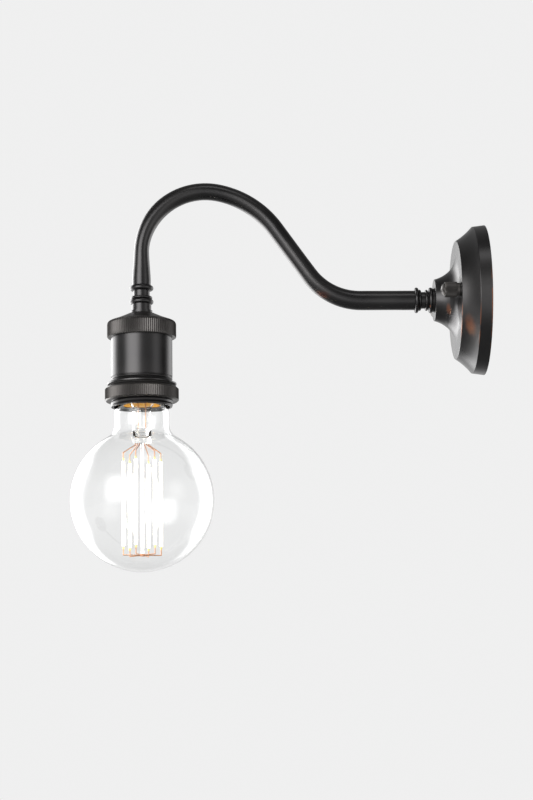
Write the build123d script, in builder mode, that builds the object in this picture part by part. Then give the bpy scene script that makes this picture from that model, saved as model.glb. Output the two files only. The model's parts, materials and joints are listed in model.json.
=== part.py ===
from build123d import *
from math import acos, cos, degrees, pi, radians, sin, sqrt
import os

# Gooseneck wall sconce with a bare globe bulb, in millimetres.
#
# Frame: the origin is the centre of the canopy's back face, +Z is up, the wall is the plane Y = 0
# and the arm reaches out along -Y in the plane X = 0. Pieces on the wall end are drawn as half
# sections of radius and distance off the wall, pieces on the socket end as half sections of radius
# and height.

os.makedirs("parts", exist_ok=True)

# ---------------------------------------------------------------- driving dimensions
# Fits
running_gap = 0.05  # radial clearance of a shaft in its bore
face_gap = 0.1  # between faces that turn past each other
slip_gap = 0.3  # between curved faces of different moving bodies
solder_gap = 0.1  # filled by solder between a spigot and the tube
same_radius = 0.01  # tolerance when an edge is chosen by its radius

# Canopy
canopy_back_radius = 50.25
rim_draft = 1.05
rim_depth = 7.9
tier_radius = 39.65
tier_depth = 19.0
cove_sag = 0.6
washer_foot_gap = 0.025
flare_knee_radius = 18.3
flare_turn = 51.0
neck_radius = 13.9
canopy_depth = 33.5
canopy_wall = 1.6
edge_round = 0.5

# Two-piece crossbar behind the canopy
strap_thickness = 1.6
strap_corner_round = 4.0
box_strap_end_gap = 3.75
box_strap_width = 18.0
box_slot_end_margin = 2.2
box_slot_length = 12.0
box_slot_width = 4.6
stud_strap_end_margin = 7.075
stud_strap_width = 16.0
eyelet_bore_radius = 5.6
eyelet_wall = 1.0
eyelet_flange = 1.8
eyelet_flange_thickness = 0.8

# Canopy studs, their thumb nuts and washers
stud_inset = 4.725
stud_radius = 2.08
stud_engagement = 7.9
jam_nut_flats = 8.7
jam_nut_thickness = 3.2
washer_radius = 4.9
washer_thickness = 0.8
nut_collar_radius = 4.5
nut_collar_length = 2.2
nut_body_radius = 5.15
nut_body_length = 8.1
nut_dome_length = 2.5
ground_screw_offset = 20.0
ground_screw_radius = 2.08
ground_head_radius = 4.6
ground_head_thickness = 2.6
ground_slot_width = 1.0

# Threaded nipples, lock nuts and lock washers that clamp the arm at both ends
nipple_radius = 4.85
nipple_bore_radius = 3.6
nipple_bite = 5.0
locknut_flats = 14.3
locknut_thickness = 3.0
lock_washer_radius = 8.2
lock_washer_thickness = 0.8
nipple_tail = 2.4

# Turned coupling between the canopy and the arm, distances from its seat on the neck
root_seat_radius = 7.9
root_ring_radius = 8.6
root_ring_at = 2.3
root_step_radius = 7.1
root_step_at = 5.1
root_waist_radius = 5.6
root_collar_radius = 7.1
root_collar_back = 2.1
root_end_radius = 8.6
root_coupling_length = 13.1
bead_half = 1.3
small_bead_half = 0.9
spigot_length = 8.0
spigot_wall = 0.55

# Arm tube: in-plane diameters follow the flattening of the bends
tube_diameter = 13.0
tube_wall = 1.0
rise_diameter = 11.5
crown_diameter = 11.4
drop_diameter = 10.3
flared_diameter = 11.9
arm_end_diameter = 12.3
straight_run = 36.1
root_bend_radius = 42.0
rise_angle = 54.5
rise_run = 38.94
crown_bend_radius = 62.0
crown_bend_angle = 43.0
drop_bend_radius = 43.0
drop_run = 21.33
run_third = 1 / 3  # share of the straight run between two of its sections
crown_width_ends = 0.35  # share of the drop bend that keeps the crown's diameter
half_narrowed = 0.7  # share of the drop bend where half the narrowing is done
flared_at = 0.6  # share of the drop where the tube is nearly at its end diameter again

# Turned coupling between the arm and the socket cap, distances down from the tube's end
tip_bead_radius = 7.95
tip_top_bead_at = 2.0
tip_waist_radius = 5.5
tip_step_radius = 7.2
tip_step_at = 8.6
tip_low_bead_at = 11.3
tip_stem_radius = 6.45
tip_lip_radius = 7.2
tip_lip_height = 1.8
tip_coupling_length = 19.1
tip_bead_half = 1.7

# Socket cap
cap_flat_radius = 8.0
cap_step_radius = 15.5
cap_step_drop = 3.4
cap_reach = 2.6
cap_cone_drop = 6.2
cap_height = 16.5
cap_shoulder_round = 2.4
cap_wall = 2.0

# Socket shell with its threaded skirt
shell_radius = 20.4
shell_wall = 2.5
shell_top_drop = 6.5
shell_visible = 26.7
groove_depth = 0.5
groove_width = 0.7
bead_band = 1.2
flare_round = 5.0
lip_reach = 3.0
lip_drop = 5.3
lip_thickness = 1.0
skirt_cut = 0.4
skirt_wall = 1.3
skirt_length = 14.9
skirt_bore_depth = 6.0
shoulder_width = 1.0

# Shade ring and the fibre washer that lies on it
ring_wall = 4.5
ring_height = 10.2
ring_top_chamfer = 2.2
ring_bottom_chamfer = 0.8
ring_drop = 0.75
shade_washer_reach = 1.9
shade_washer_thickness = 0.6

# Porcelain core, lampholder contacts and terminals
core_height = 29.5
core_floor = 7.0
core_gap = 0.2
contact_sheet = 0.5
holder_thread_gap = 0.4
holder_length = 22.0
holder_mouth_radius = 6.2
leaf_width = 5.0
leaf_half_length = 4.8
leaf_drop = 2.6
leaf_lip_reach = 3.84
leaf_lip_rise = 0.5
rivet_radius = 1.3
leaf_rivet_offset = 3.2
holder_rivet_offset = 8.0
terminal_width = 7.0
terminal_inner = 2.0
terminal_gap = 0.9
terminal_thickness = 0.8
terminal_screw_inset = 3.6
terminal_screw_radius = 1.6
terminal_screw_length = 5.0
terminal_head_radius = 3.0
terminal_head_height = 2.0
screw_slot_width = 0.8
clip_width = 1.6
clip_thickness = 1.3
clip_groove_rise = 0.5
clip_gap_angle = 30.0

# Bulb
globe_radius = 47.5
bulb_length = 137.0
bulb_neck_radius = 18.25
neck_blend_radius = 10.0
glass_wall = 0.8
neck_shoulder_drop = 6.0
base_radius = 13.1
base_wall = 0.3
base_length = 21.2
base_glass_overlap = 6.0
base_glass_gap = 0.1
base_rim_width = 1.6
tip_contact_radius = 4.6
tip_contact_height = 1.0
tip_contact_round = 0.6
insulator_height = 3.4
insulator_step = 0.7
insulator_top_radius = 5.4

# Inside the bulb
stem_radius = 6.3
stem_wall = 0.8
stem_length = 24.5
stem_flare_length = 8.0
pinch_width = 12.4
pinch_thickness = 3.8
pinch_taper = 3.5
pinch_length = 4.0
post_radius = 1.0
filament_count = 6
filament_radius = 0.95
filament_bottom_gap = 15.0
filament_ring_radius = 12.6
filament_turn = -11.0
filament_top_drop = 62.0
filament_cap_length = 2.0
wire_radius = 0.35
weld_reach = 3.9
wire_exit_first = 1.7
wire_exit_pitch = 1.3
wire_exit_drop = 1.0
hub_radius = 1.8
hub_height = 1.6
stem_wire_offset = 2.5
driver_board_width = 17.0
driver_board_height = 13.0
driver_board_thickness = 1.2
capacitor_radius = 3.2
capacitor_length = 8.0
choke_radius = 2.6
choke_length = 6.0

# Leads from the socket terminals to the canopy
lead_radius = 1.0
lead_spread = 1.2
lead_bend_radius = 6.0
lead_landing = 5.0
lead_tail = 3.0

# ---------------------------------------------------------------- derived sizes
canopy_rim_radius = canopy_back_radius - rim_draft
stud_spacing = 2 * (tier_radius - stud_inset)
flare_start_radius = stud_spacing / 2 - washer_radius - washer_foot_gap
box_strap_length = 2 * (canopy_back_radius - box_strap_end_gap)
box_slot_spacing = box_strap_length - box_slot_length - 2 * box_slot_end_margin
stud_strap_length = stud_spacing + 2 * stud_strap_end_margin
root_end_at = root_coupling_length - bead_half
root_collar_at = root_end_at - root_collar_back
tip_spigot_radius = flared_diameter / 2 - tube_wall - solder_gap
lead_bore_radius = tip_spigot_radius - spigot_wall
cap_radius = shell_radius + cap_reach
skirt_radius = shell_radius - skirt_cut
lip_radius = skirt_radius + lip_reach
ring_radius = skirt_radius + ring_wall
shade_washer_radius = skirt_radius + shade_washer_reach
shell_bore = shell_radius - shell_wall
terminal_outer = shell_bore - shoulder_width - terminal_gap
terminal_screw_offset = terminal_outer - terminal_screw_inset
holder_bore_radius = base_radius + holder_thread_gap
insulator_radius = base_radius - insulator_step
filament_length = bulb_length - filament_top_drop - filament_bottom_gap

# ---------------------------------------------------------------- derived places
arm_root = canopy_depth + root_coupling_length
off_wall = Plane(origin=(0, 0, 0), x_dir=(1, 0, 0), z_dir=(0, 0, -1))
root_axis = Axis.Y


def at_distance(distance):
    """The plane parallel to the wall at a distance off it, facing the room."""
    return Plane.XZ.offset(distance)


def band(inner, outer, start, end, mode=Mode.ADD):
    """A rectangle of a half section: from one radius to another, from one height to another."""
    with Locations((inner, start)):
        Rectangle(outer - inner, end - start, align=(Align.MIN, Align.MIN), mode=mode)


def bead(radius, centre, half_width):
    """A rounded ring of a turned piece, in its half section."""
    band(0, radius - half_width, centre - half_width, centre + half_width)
    with Locations((radius - half_width, centre)):
        Circle(half_width)


def save(builder, name):
    """Label a finished piece and write it."""
    builder.part.label = name
    export_step(builder.part, f"parts/{name}.step")


# The arm's centre line, from the root coupling to the tip coupling
with BuildLine(Plane.YZ) as arm_path:
    run_line = Line((-arm_root, 0), (-arm_root - straight_run, 0))
    root_bend = JernArc(run_line @ 1, run_line % 1, root_bend_radius, -rise_angle)
    rise_line = PolarLine(root_bend @ 1, rise_run, direction=root_bend % 1)
    crown_bend = JernArc(rise_line @ 1, rise_line % 1, crown_bend_radius, crown_bend_angle)
    drop_angle = 90 + rise_angle - crown_bend_angle
    drop_bend = JernArc(crown_bend @ 1, crown_bend % 1, drop_bend_radius, drop_angle)
    drop_line = PolarLine(drop_bend @ 1, drop_run, direction=drop_bend % 1)

arm_tip = drop_line @ 1
socket_y = arm_tip.Y
tip_z = arm_tip.Z
beside_socket = Plane(origin=(0, socket_y, 0), x_dir=(1, 0, 0), z_dir=(0, -1, 0))
socket_axis = Axis((0, socket_y, 0), (0, 0, 1))


def at_height(height):
    """The level plane at a height, centred on the socket's axis."""
    return Plane(origin=(0, socket_y, height))


# Heights down the socket
cap_top = tip_z - tip_coupling_length
cap_bottom = cap_top - cap_height
shell_top = cap_top - shell_top_drop
groove_top = cap_bottom - shell_visible
lip_bottom = groove_top - lip_drop
skirt_bottom = lip_bottom - skirt_length
ring_top = lip_bottom - ring_drop
core_bottom = skirt_bottom + skirt_bore_depth + clip_groove_rise + clip_thickness
core_top = core_bottom + core_height
well_top = core_top - core_floor
leaf_tip = well_top - leaf_drop
bulb_top = leaf_tip - face_gap
bulb_bottom = bulb_top - bulb_length
base_top = bulb_top - tip_contact_height - insulator_height
base_bottom = base_top - base_length
globe_centre = bulb_bottom + globe_radius
glass_top = base_bottom + base_glass_overlap

# ---------------------------------------------------------------- crossbar
strap_face = strap_thickness + face_gap
eyelet_radius = eyelet_bore_radius + eyelet_wall

with BuildPart() as box_strap:
    with BuildSketch(at_distance(0)):
        Rectangle(box_strap_width, box_strap_length)
        Circle(eyelet_radius, mode=Mode.SUBTRACT)
        with Locations((0, box_slot_spacing / 2), (0, -box_slot_spacing / 2)):
            SlotOverall(box_slot_length, box_slot_width, rotation=90, mode=Mode.SUBTRACT)
    extrude(amount=strap_thickness)
    fillet(box_strap.edges().filter_by(Axis.Y).group_by(Axis.Z)[0], strap_corner_round)
    fillet(box_strap.edges().filter_by(Axis.Y).group_by(Axis.Z)[-1], strap_corner_round)
save(box_strap, "box_strap")

with BuildPart() as stud_strap:
    with BuildSketch(at_distance(strap_face)):
        Rectangle(stud_strap_length, stud_strap_width)
        Circle(eyelet_radius + running_gap, mode=Mode.SUBTRACT)
        with Locations((stud_spacing / 2, 0), (-stud_spacing / 2, 0)):
            Circle(stud_radius, mode=Mode.SUBTRACT)
        with Locations((ground_screw_offset, 0)):
            Circle(ground_screw_radius, mode=Mode.SUBTRACT)
    extrude(amount=strap_thickness)
    fillet(stud_strap.edges().filter_by(Axis.Y).group_by(Axis.X)[0], strap_corner_round)
    fillet(stud_strap.edges().filter_by(Axis.Y).group_by(Axis.X)[-1], strap_corner_round)
save(stud_strap, "stud_strap")

# The hollow eyelet is set in the box strap, and the stud strap turns on it
eyelet_flange_start = strap_face + strap_thickness + face_gap
with BuildPart() as strap_eyelet:
    with BuildSketch(off_wall):
        band(eyelet_bore_radius, eyelet_radius, 0, eyelet_flange_start)
        band(
            eyelet_bore_radius,
            eyelet_radius + eyelet_flange,
            eyelet_flange_start,
            eyelet_flange_start + eyelet_flange_thickness,
        )
    revolve(axis=root_axis)
save(strap_eyelet, "strap_eyelet")

# ---------------------------------------------------------------- canopy
flare_radius = (flare_start_radius - flare_knee_radius) / sin(radians(flare_turn))
nipple_hole_radius = nipple_radius + slip_gap
stud_hole_radius = stud_radius + slip_gap

with BuildPart() as canopy:
    with BuildSketch(off_wall):
        with BuildLine():
            side_slope = (canopy_back_radius - canopy_rim_radius) / rim_depth
            side = Line(
                (canopy_back_radius + side_slope * canopy_wall, -canopy_wall),
                (canopy_rim_radius, rim_depth),
            )
            cove = SagittaArc(side @ 1, (tier_radius, tier_depth), cove_sag)
            tier_face = Line(cove @ 1, (flare_start_radius, tier_depth))
            flare = JernArc(tier_face @ 1, (-1, 0), flare_radius, -flare_turn)
            sweep_in = TangentArc(flare @ 1, (neck_radius, canopy_depth), tangent=flare % 1)
            Line(sweep_in @ 1, (nipple_hole_radius, canopy_depth))
            offset(amount=canopy_wall, side=Side.LEFT)
        make_face()
    revolve(axis=root_axis)
    split(bisect_by=Plane.XZ)
    outer_edges = canopy.edges().filter_by(GeomType.CIRCLE)
    for radius in (canopy_rim_radius, tier_radius, neck_radius):
        fillet(outer_edges.filter_by(lambda edge: abs(edge.radius - radius) < same_radius), edge_round)
    with BuildSketch(at_distance(0)):
        with Locations((stud_spacing / 2, 0), (-stud_spacing / 2, 0)):
            Circle(stud_hole_radius)
    extrude(amount=canopy_depth, mode=Mode.SUBTRACT)
save(canopy, "canopy")

# ---------------------------------------------------------------- studs and thumb nuts
jam_start = strap_face + strap_thickness
washer_start = tier_depth
nut_start = washer_start + washer_thickness
stud_end = nut_start + stud_engagement

with BuildPart() as canopy_studs:
    with BuildSketch(at_distance(strap_face)):
        with Locations((stud_spacing / 2, 0), (-stud_spacing / 2, 0)):
            Circle(stud_radius)
    extrude(amount=stud_end - strap_face)
save(canopy_studs, "canopy_studs")

with BuildPart() as stud_jam_nuts:
    with BuildSketch(at_distance(jam_start)):
        with Locations((stud_spacing / 2, 0), (-stud_spacing / 2, 0)):
            RegularPolygon(jam_nut_flats / 2, 6, major_radius=False)
            Circle(stud_radius, mode=Mode.SUBTRACT)
    extrude(amount=jam_nut_thickness)
save(stud_jam_nuts, "stud_jam_nuts")

with BuildPart() as ground_screw:
    with BuildSketch(at_distance(strap_face)):
        with Locations((ground_screw_offset, 0)):
            Circle(ground_screw_radius)
    extrude(amount=strap_thickness)
    with BuildSketch(at_distance(jam_start)):
        with Locations((ground_screw_offset, 0)):
            RegularPolygon(ground_head_radius, 6)
    extrude(amount=ground_head_thickness)
    with BuildSketch(at_distance(jam_start + ground_head_thickness)):
        with Locations((ground_screw_offset, 0)):
            Rectangle(2 * ground_head_radius, ground_slot_width)
    extrude(amount=-ground_head_thickness / 2, mode=Mode.SUBTRACT)
save(ground_screw, "ground_screw")

for side_name, side_sign in (("left", -1), ("right", 1)):
    stud_x = side_sign * stud_spacing / 2
    stud_axis = Axis((stud_x, 0, 0), (0, 1, 0))
    stud_section = Plane(origin=(stud_x, 0, 0), x_dir=(1, 0, 0), z_dir=(0, 0, -1))
    nut_bore = stud_radius + running_gap
    collar_end = nut_start + nut_collar_length
    body_end = collar_end + nut_body_length
    body_top = body_end + nut_dome_length
    dome_radius = (nut_body_radius**2 + nut_dome_length**2) / (2 * nut_dome_length)

    with BuildPart() as thumb_washer:
        with BuildSketch(stud_section):
            band(nut_bore, washer_radius, washer_start, nut_start)
        revolve(axis=stud_axis)
    save(thumb_washer, f"thumb_washer_{side_name}")

    with BuildPart() as thumb_nut:
        with BuildSketch(stud_section):
            band(0, nut_collar_radius, nut_start, collar_end)
            band(0, nut_body_radius, collar_end, body_end)
            with BuildLine():
                dome = RadiusArc((nut_body_radius, body_end), (0, body_top), -dome_radius)
                Polyline(dome @ 1, (0, body_end), dome @ 0)
            make_face()
            band(0, nut_bore, nut_start, stud_end + face_gap, mode=Mode.SUBTRACT)
        revolve(axis=stud_axis)
    save(thumb_nut, f"thumb_nut_{side_name}")

# ---------------------------------------------------------------- clamp inside the canopy neck
neck_inner_face = canopy_depth - canopy_wall
root_locknut_start = neck_inner_face - lock_washer_thickness - locknut_thickness

with BuildPart() as canopy_nipple:
    with BuildSketch(off_wall):
        band(
            nipple_bore_radius,
            nipple_radius,
            root_locknut_start - nipple_tail,
            canopy_depth + nipple_bite,
        )
    revolve(axis=root_axis)
save(canopy_nipple, "canopy_nipple")

with BuildPart() as canopy_lock_washer:
    with BuildSketch(at_distance(neck_inner_face - lock_washer_thickness)):
        Circle(lock_washer_radius)
        Circle(nipple_radius + running_gap, mode=Mode.SUBTRACT)
    extrude(amount=lock_washer_thickness)
save(canopy_lock_washer, "canopy_lock_washer")

with BuildPart() as canopy_locknut:
    with BuildSketch(at_distance(root_locknut_start)):
        RegularPolygon(locknut_flats / 2, 6, major_radius=False)
        Circle(nipple_radius, mode=Mode.SUBTRACT)
    extrude(amount=locknut_thickness)
save(canopy_locknut, "canopy_locknut")

# ---------------------------------------------------------------- root coupling
root_spigot_radius = tube_diameter / 2 - tube_wall - solder_gap

with BuildPart() as canopy_coupling:
    with BuildSketch(off_wall):
        band(0, root_waist_radius, canopy_depth, arm_root)
        band(0, root_seat_radius, canopy_depth, canopy_depth + root_ring_at)
        bead(root_ring_radius, canopy_depth + root_ring_at, bead_half)
        bead(root_step_radius, canopy_depth + root_step_at, small_bead_half)
        bead(root_collar_radius, canopy_depth + root_collar_at, small_bead_half)
        bead(root_end_radius, canopy_depth + root_end_at, bead_half)
        band(0, root_spigot_radius, arm_root, arm_root + spigot_length)
        band(0, lead_bore_radius, canopy_depth, arm_root + spigot_length, mode=Mode.SUBTRACT)
        band(0, nipple_radius, canopy_depth, canopy_depth + nipple_bite, mode=Mode.SUBTRACT)
    revolve(axis=root_axis)
save(canopy_coupling, "canopy_coupling")

# ---------------------------------------------------------------- arm tube
# In-plane diameter at each station: the path edge, the place along it, and the diameter there
arm_stations = (
    (run_line, 0, tube_diameter),
    (run_line, run_third, tube_diameter),
    (run_line, 2 * run_third, tube_diameter),
    (run_line, 1, tube_diameter),
    (root_bend, 0.5, (tube_diameter + rise_diameter) / 2),
    (root_bend, 1, rise_diameter),
    (rise_line, 1, rise_diameter),
    (crown_bend, 1, crown_diameter),
    (drop_bend, crown_width_ends, crown_diameter),
    (drop_bend, half_narrowed, (crown_diameter + drop_diameter) / 2),
    (drop_bend, 1, drop_diameter),
    (drop_line, flared_at, flared_diameter),
    (drop_line, 1, arm_end_diameter),
)


def swept_arm(wall):
    """The arm's solid at a depth below its surface, swept through a section at each station."""
    with BuildPart() as arm_solid:
        with BuildLine():
            add(arm_path.line)
        for edge, place, diameter in arm_stations:
            station = Plane(origin=edge @ place, x_dir=(1, 0, 0), z_dir=edge % place)
            with BuildSketch(station):
                Ellipse(tube_diameter / 2 - wall, diameter / 2 - wall)
        sweep(multisection=True)
    return arm_solid.part


with BuildPart() as arm_tube:
    add(swept_arm(0))
    add(swept_arm(tube_wall), mode=Mode.SUBTRACT)
save(arm_tube, "arm_tube")

# ---------------------------------------------------------------- tip coupling
with BuildPart() as socket_coupling:
    with BuildSketch(beside_socket):
        band(0, tip_waist_radius, cap_top, tip_z)
        bead(tip_bead_radius, tip_z - tip_top_bead_at, tip_bead_half)
        bead(tip_step_radius, tip_z - tip_step_at, small_bead_half)
        bead(tip_bead_radius, tip_z - tip_low_bead_at, tip_bead_half)
        band(0, tip_stem_radius, cap_top, tip_z - tip_low_bead_at)
        band(0, tip_lip_radius, cap_top, cap_top + tip_lip_height)
        band(0, tip_spigot_radius, tip_z, tip_z + spigot_length)
        band(0, lead_bore_radius, cap_top, tip_z + spigot_length, mode=Mode.SUBTRACT)
        band(0, nipple_radius, cap_top, cap_top + nipple_bite, mode=Mode.SUBTRACT)
    revolve(axis=socket_axis)
save(socket_coupling, "socket_coupling")

# ---------------------------------------------------------------- socket cap and its clamp
cap_face = cap_top - cap_wall
cap_pad_radius = lock_washer_radius + slip_gap

with BuildPart() as socket_cap:
    with BuildSketch(beside_socket):
        with BuildLine():
            Polyline(
                (nipple_hole_radius, cap_top),
                (cap_flat_radius, cap_top),
                (cap_step_radius, cap_top - cap_step_drop),
                (cap_radius, cap_top - cap_cone_drop),
                (cap_radius, cap_bottom),
                (shell_radius + running_gap, cap_bottom),
                (shell_radius + running_gap, shell_top),
                (cap_pad_radius, cap_face),
                (nipple_hole_radius, cap_face),
                close=True,
            )
        make_face()
    revolve(axis=socket_axis)
    shoulder = socket_cap.edges().filter_by(GeomType.CIRCLE)
    shoulder = shoulder.filter_by(lambda edge: abs(edge.radius - cap_radius) < same_radius)
    fillet(shoulder.sort_by(Axis.Z)[-1], cap_shoulder_round)
    fillet(shoulder.sort_by(Axis.Z)[0], edge_round)
save(socket_cap, "socket_cap")

tip_locknut_top = cap_face - lock_washer_thickness

with BuildPart() as socket_nipple:
    with BuildSketch(beside_socket):
        band(
            nipple_bore_radius,
            nipple_radius,
            tip_locknut_top - locknut_thickness - nipple_tail,
            cap_top + nipple_bite,
        )
    revolve(axis=socket_axis)
save(socket_nipple, "socket_nipple")

with BuildPart() as socket_lock_washer:
    with BuildSketch(at_height(tip_locknut_top)):
        Circle(lock_washer_radius)
        Circle(nipple_radius + running_gap, mode=Mode.SUBTRACT)
    extrude(amount=lock_washer_thickness)
save(socket_lock_washer, "socket_lock_washer")

with BuildPart() as socket_locknut:
    with BuildSketch(at_height(tip_locknut_top - locknut_thickness)):
        RegularPolygon(locknut_flats / 2, 6, major_radius=False)
        Circle(nipple_radius, mode=Mode.SUBTRACT)
    extrude(amount=locknut_thickness)
save(socket_locknut, "socket_locknut")

# ---------------------------------------------------------------- socket shell
bead_centre = groove_top - groove_width - bead_band / 2
flare_top = groove_top - groove_width - bead_band
waist_radius = shell_radius - groove_depth

with BuildPart() as socket_shell:
    with BuildSketch(beside_socket):
        band(0, shell_radius, groove_top, shell_top)
        band(0, waist_radius, lip_bottom, groove_top)
        bead(shell_radius, bead_centre, bead_band / 2)
        with BuildLine():
            lip_flare = RadiusArc(
                (waist_radius, flare_top),
                (lip_radius, lip_bottom + lip_thickness),
                flare_round,
            )
            Polyline(
                lip_flare @ 1,
                (lip_radius, lip_bottom),
                (0, lip_bottom),
                (0, flare_top),
                lip_flare @ 0,
            )
        make_face()
        band(0, skirt_radius, skirt_bottom, lip_bottom)
        band(0, shell_bore, skirt_bottom, core_top, mode=Mode.SUBTRACT)
        band(0, shell_bore - shoulder_width, core_top, shell_top, mode=Mode.SUBTRACT)
        band(
            0,
            skirt_radius - skirt_wall,
            skirt_bottom,
            skirt_bottom + skirt_bore_depth,
            mode=Mode.SUBTRACT,
        )
    revolve(axis=socket_axis)
save(socket_shell, "socket_shell")

# ---------------------------------------------------------------- shade ring and washer
ring_bore = skirt_radius + running_gap

with BuildPart() as shade_ring:
    with BuildSketch(beside_socket):
        band(ring_bore, ring_radius, ring_top - ring_height, ring_top)
    revolve(axis=socket_axis)
    rim = shade_ring.edges().filter_by(GeomType.CIRCLE)
    rim = rim.filter_by(lambda edge: abs(edge.radius - ring_radius) < same_radius)
    chamfer(rim.sort_by(Axis.Z)[-1], ring_top_chamfer)
    chamfer(rim.sort_by(Axis.Z)[0], ring_bottom_chamfer)
save(shade_ring, "shade_ring")

with BuildPart() as shade_washer:
    with BuildSketch(at_height(ring_top)):
        Circle(shade_washer_radius)
        Circle(skirt_radius + slip_gap, mode=Mode.SUBTRACT)
    extrude(amount=shade_washer_thickness)
save(shade_washer, "shade_washer")

# ---------------------------------------------------------------- lampholder inside the shell
holder_radius = holder_bore_radius + contact_sheet
core_radius = shell_bore - core_gap

with BuildPart() as porcelain_core:
    with BuildSketch(beside_socket):
        band(0, core_radius, core_bottom, core_top)
        band(0, holder_radius, core_bottom, well_top, mode=Mode.SUBTRACT)
    revolve(axis=socket_axis)
    with BuildSketch(at_height(well_top)):
        with Locations((-leaf_rivet_offset, 0), (holder_rivet_offset, 0)):
            Circle(rivet_radius)
    extrude(amount=core_floor, mode=Mode.SUBTRACT)
    with BuildSketch(at_height(core_top)):
        with Locations((-terminal_screw_offset, 0), (terminal_screw_offset, 0)):
            Circle(terminal_screw_radius)
    extrude(amount=-terminal_screw_length, mode=Mode.SUBTRACT)
save(porcelain_core, "porcelain_core")

with BuildPart() as screw_shell:
    with BuildSketch(beside_socket):
        band(holder_bore_radius, holder_radius, well_top - holder_length, well_top)
        band(holder_mouth_radius, holder_radius, well_top - contact_sheet, well_top)
    revolve(axis=socket_axis)
save(screw_shell, "screw_shell")

with BuildPart() as centre_contact:
    with BuildSketch(beside_socket):
        with BuildLine():
            leaf_half = contact_sheet / 2
            Polyline(
                (-leaf_half_length, well_top - leaf_half),
                (-leaf_rivet_offset + rivet_radius, well_top - leaf_half),
                (0, leaf_tip + leaf_half),
                (leaf_half_length / 2, leaf_tip + leaf_half),
                (leaf_lip_reach, leaf_tip + leaf_half + leaf_lip_rise),
            )
            offset(amount=leaf_half)
        make_face()
    extrude(amount=leaf_width / 2, both=True)
save(centre_contact, "centre_contact")

with BuildPart() as contact_rivets:
    with BuildSketch(at_height(well_top)):
        with Locations((-leaf_rivet_offset, 0), (holder_rivet_offset, 0)):
            Circle(rivet_radius)
    extrude(amount=core_floor)
save(contact_rivets, "contact_rivets")

for terminal_name, terminal_sign in (("line", -1), ("neutral", 1)):
    with BuildPart() as terminal_plate:
        with BuildSketch(at_height(core_top)):
            with Locations((terminal_sign * (terminal_inner + terminal_outer) / 2, 0)):
                Rectangle(terminal_outer - terminal_inner, terminal_width)
            with Locations((terminal_sign * terminal_screw_offset, 0)):
                Circle(terminal_screw_radius, mode=Mode.SUBTRACT)
        extrude(amount=terminal_thickness)
    save(terminal_plate, f"{terminal_name}_terminal")

plate_top = core_top + terminal_thickness
with BuildPart() as terminal_screws:
    with Locations((-terminal_screw_offset, socket_y, 0), (terminal_screw_offset, socket_y, 0)):
        with Locations((0, 0, plate_top)):
            Cylinder(
                terminal_screw_radius,
                terminal_screw_length + terminal_thickness,
                align=(Align.CENTER, Align.CENTER, Align.MAX),
            )
            Cylinder(
                terminal_head_radius,
                terminal_head_height,
                align=(Align.CENTER, Align.CENTER, Align.MIN),
            )
        with Locations((0, 0, plate_top + terminal_head_height)):
            Box(
                2 * terminal_head_radius,
                screw_slot_width,
                terminal_head_height,
                mode=Mode.SUBTRACT,
            )
save(terminal_screws, "terminal_screws")

with BuildPart() as core_clip:
    with BuildSketch(at_height(core_bottom)):
        Circle(shell_bore)
        Circle(shell_bore - clip_width, mode=Mode.SUBTRACT)
        with BuildLine():
            reach = 2 * shell_bore
            half_gap = radians(clip_gap_angle / 2)
            Polyline(
                (0, 0),
                (reach * cos(half_gap), reach * sin(half_gap)),
                (reach * cos(half_gap), -reach * sin(half_gap)),
                close=True,
            )
        make_face(mode=Mode.SUBTRACT)
    extrude(amount=-clip_thickness)
save(core_clip, "core_clip")

# ---------------------------------------------------------------- bulb base
with BuildPart() as bulb_tip_contact:
    with BuildSketch(beside_socket):
        band(0, tip_contact_radius, bulb_top - tip_contact_height, bulb_top)
    revolve(axis=socket_axis)
    fillet(bulb_tip_contact.faces().sort_by(Axis.Z)[-1].edges(), tip_contact_round)
save(bulb_tip_contact, "bulb_tip_contact")

with BuildPart() as bulb_insulator:
    with BuildSketch(beside_socket):
        with BuildLine():
            Polyline(
                (wire_radius, base_top),
                (insulator_radius, base_top),
                (insulator_top_radius, base_top + insulator_height),
                (wire_radius, base_top + insulator_height),
                close=True,
            )
        make_face()
    revolve(axis=socket_axis)
save(bulb_insulator, "bulb_insulator")

base_bore = base_radius - base_wall
with BuildPart() as bulb_screw_base:
    with BuildSketch(beside_socket):
        band(base_bore, base_radius, base_bottom, base_top)
        band(base_bore - base_rim_width, base_radius, base_top - base_wall, base_top)
    revolve(axis=socket_axis)
save(bulb_screw_base, "bulb_screw_base")

# ---------------------------------------------------------------- bulb glass
glass_top_radius = base_bore - base_glass_gap
blend_rise = sqrt(
    (globe_radius + neck_blend_radius) ** 2 - (bulb_neck_radius + neck_blend_radius) ** 2
)
blend_share = globe_radius / (globe_radius + neck_blend_radius)
blend_meets_globe = (
    (bulb_neck_radius + neck_blend_radius) * blend_share,
    globe_centre + blend_rise * blend_share,
)

with BuildPart() as bulb_glass:
    with BuildSketch(beside_socket):
        with BuildLine():
            glass_neck = Line((glass_top_radius, glass_top), (glass_top_radius, base_bottom))
            glass_shoulder = TangentArc(
                (bulb_neck_radius, base_bottom - neck_shoulder_drop),
                glass_neck @ 1,
                tangent=(0, 1),
            )
            glass_side = Line(
                glass_shoulder @ 0, (bulb_neck_radius, globe_centre + blend_rise)
            )
            glass_blend = RadiusArc(glass_side @ 1, blend_meets_globe, -neck_blend_radius)
            ThreePointArc(glass_blend @ 1, (globe_radius, globe_centre), (0, bulb_bottom))
            offset(amount=glass_wall, side=Side.RIGHT)
        make_face()
    revolve(axis=socket_axis)
save(bulb_glass, "bulb_glass")

# ---------------------------------------------------------------- stem, filaments and wires
stem_bottom = glass_top - stem_length
pinch_bottom = stem_bottom - pinch_taper - pinch_length
flare_bottom = glass_top - stem_flare_length
stem_flare_radius = glass_top_radius - glass_wall - base_glass_gap

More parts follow.
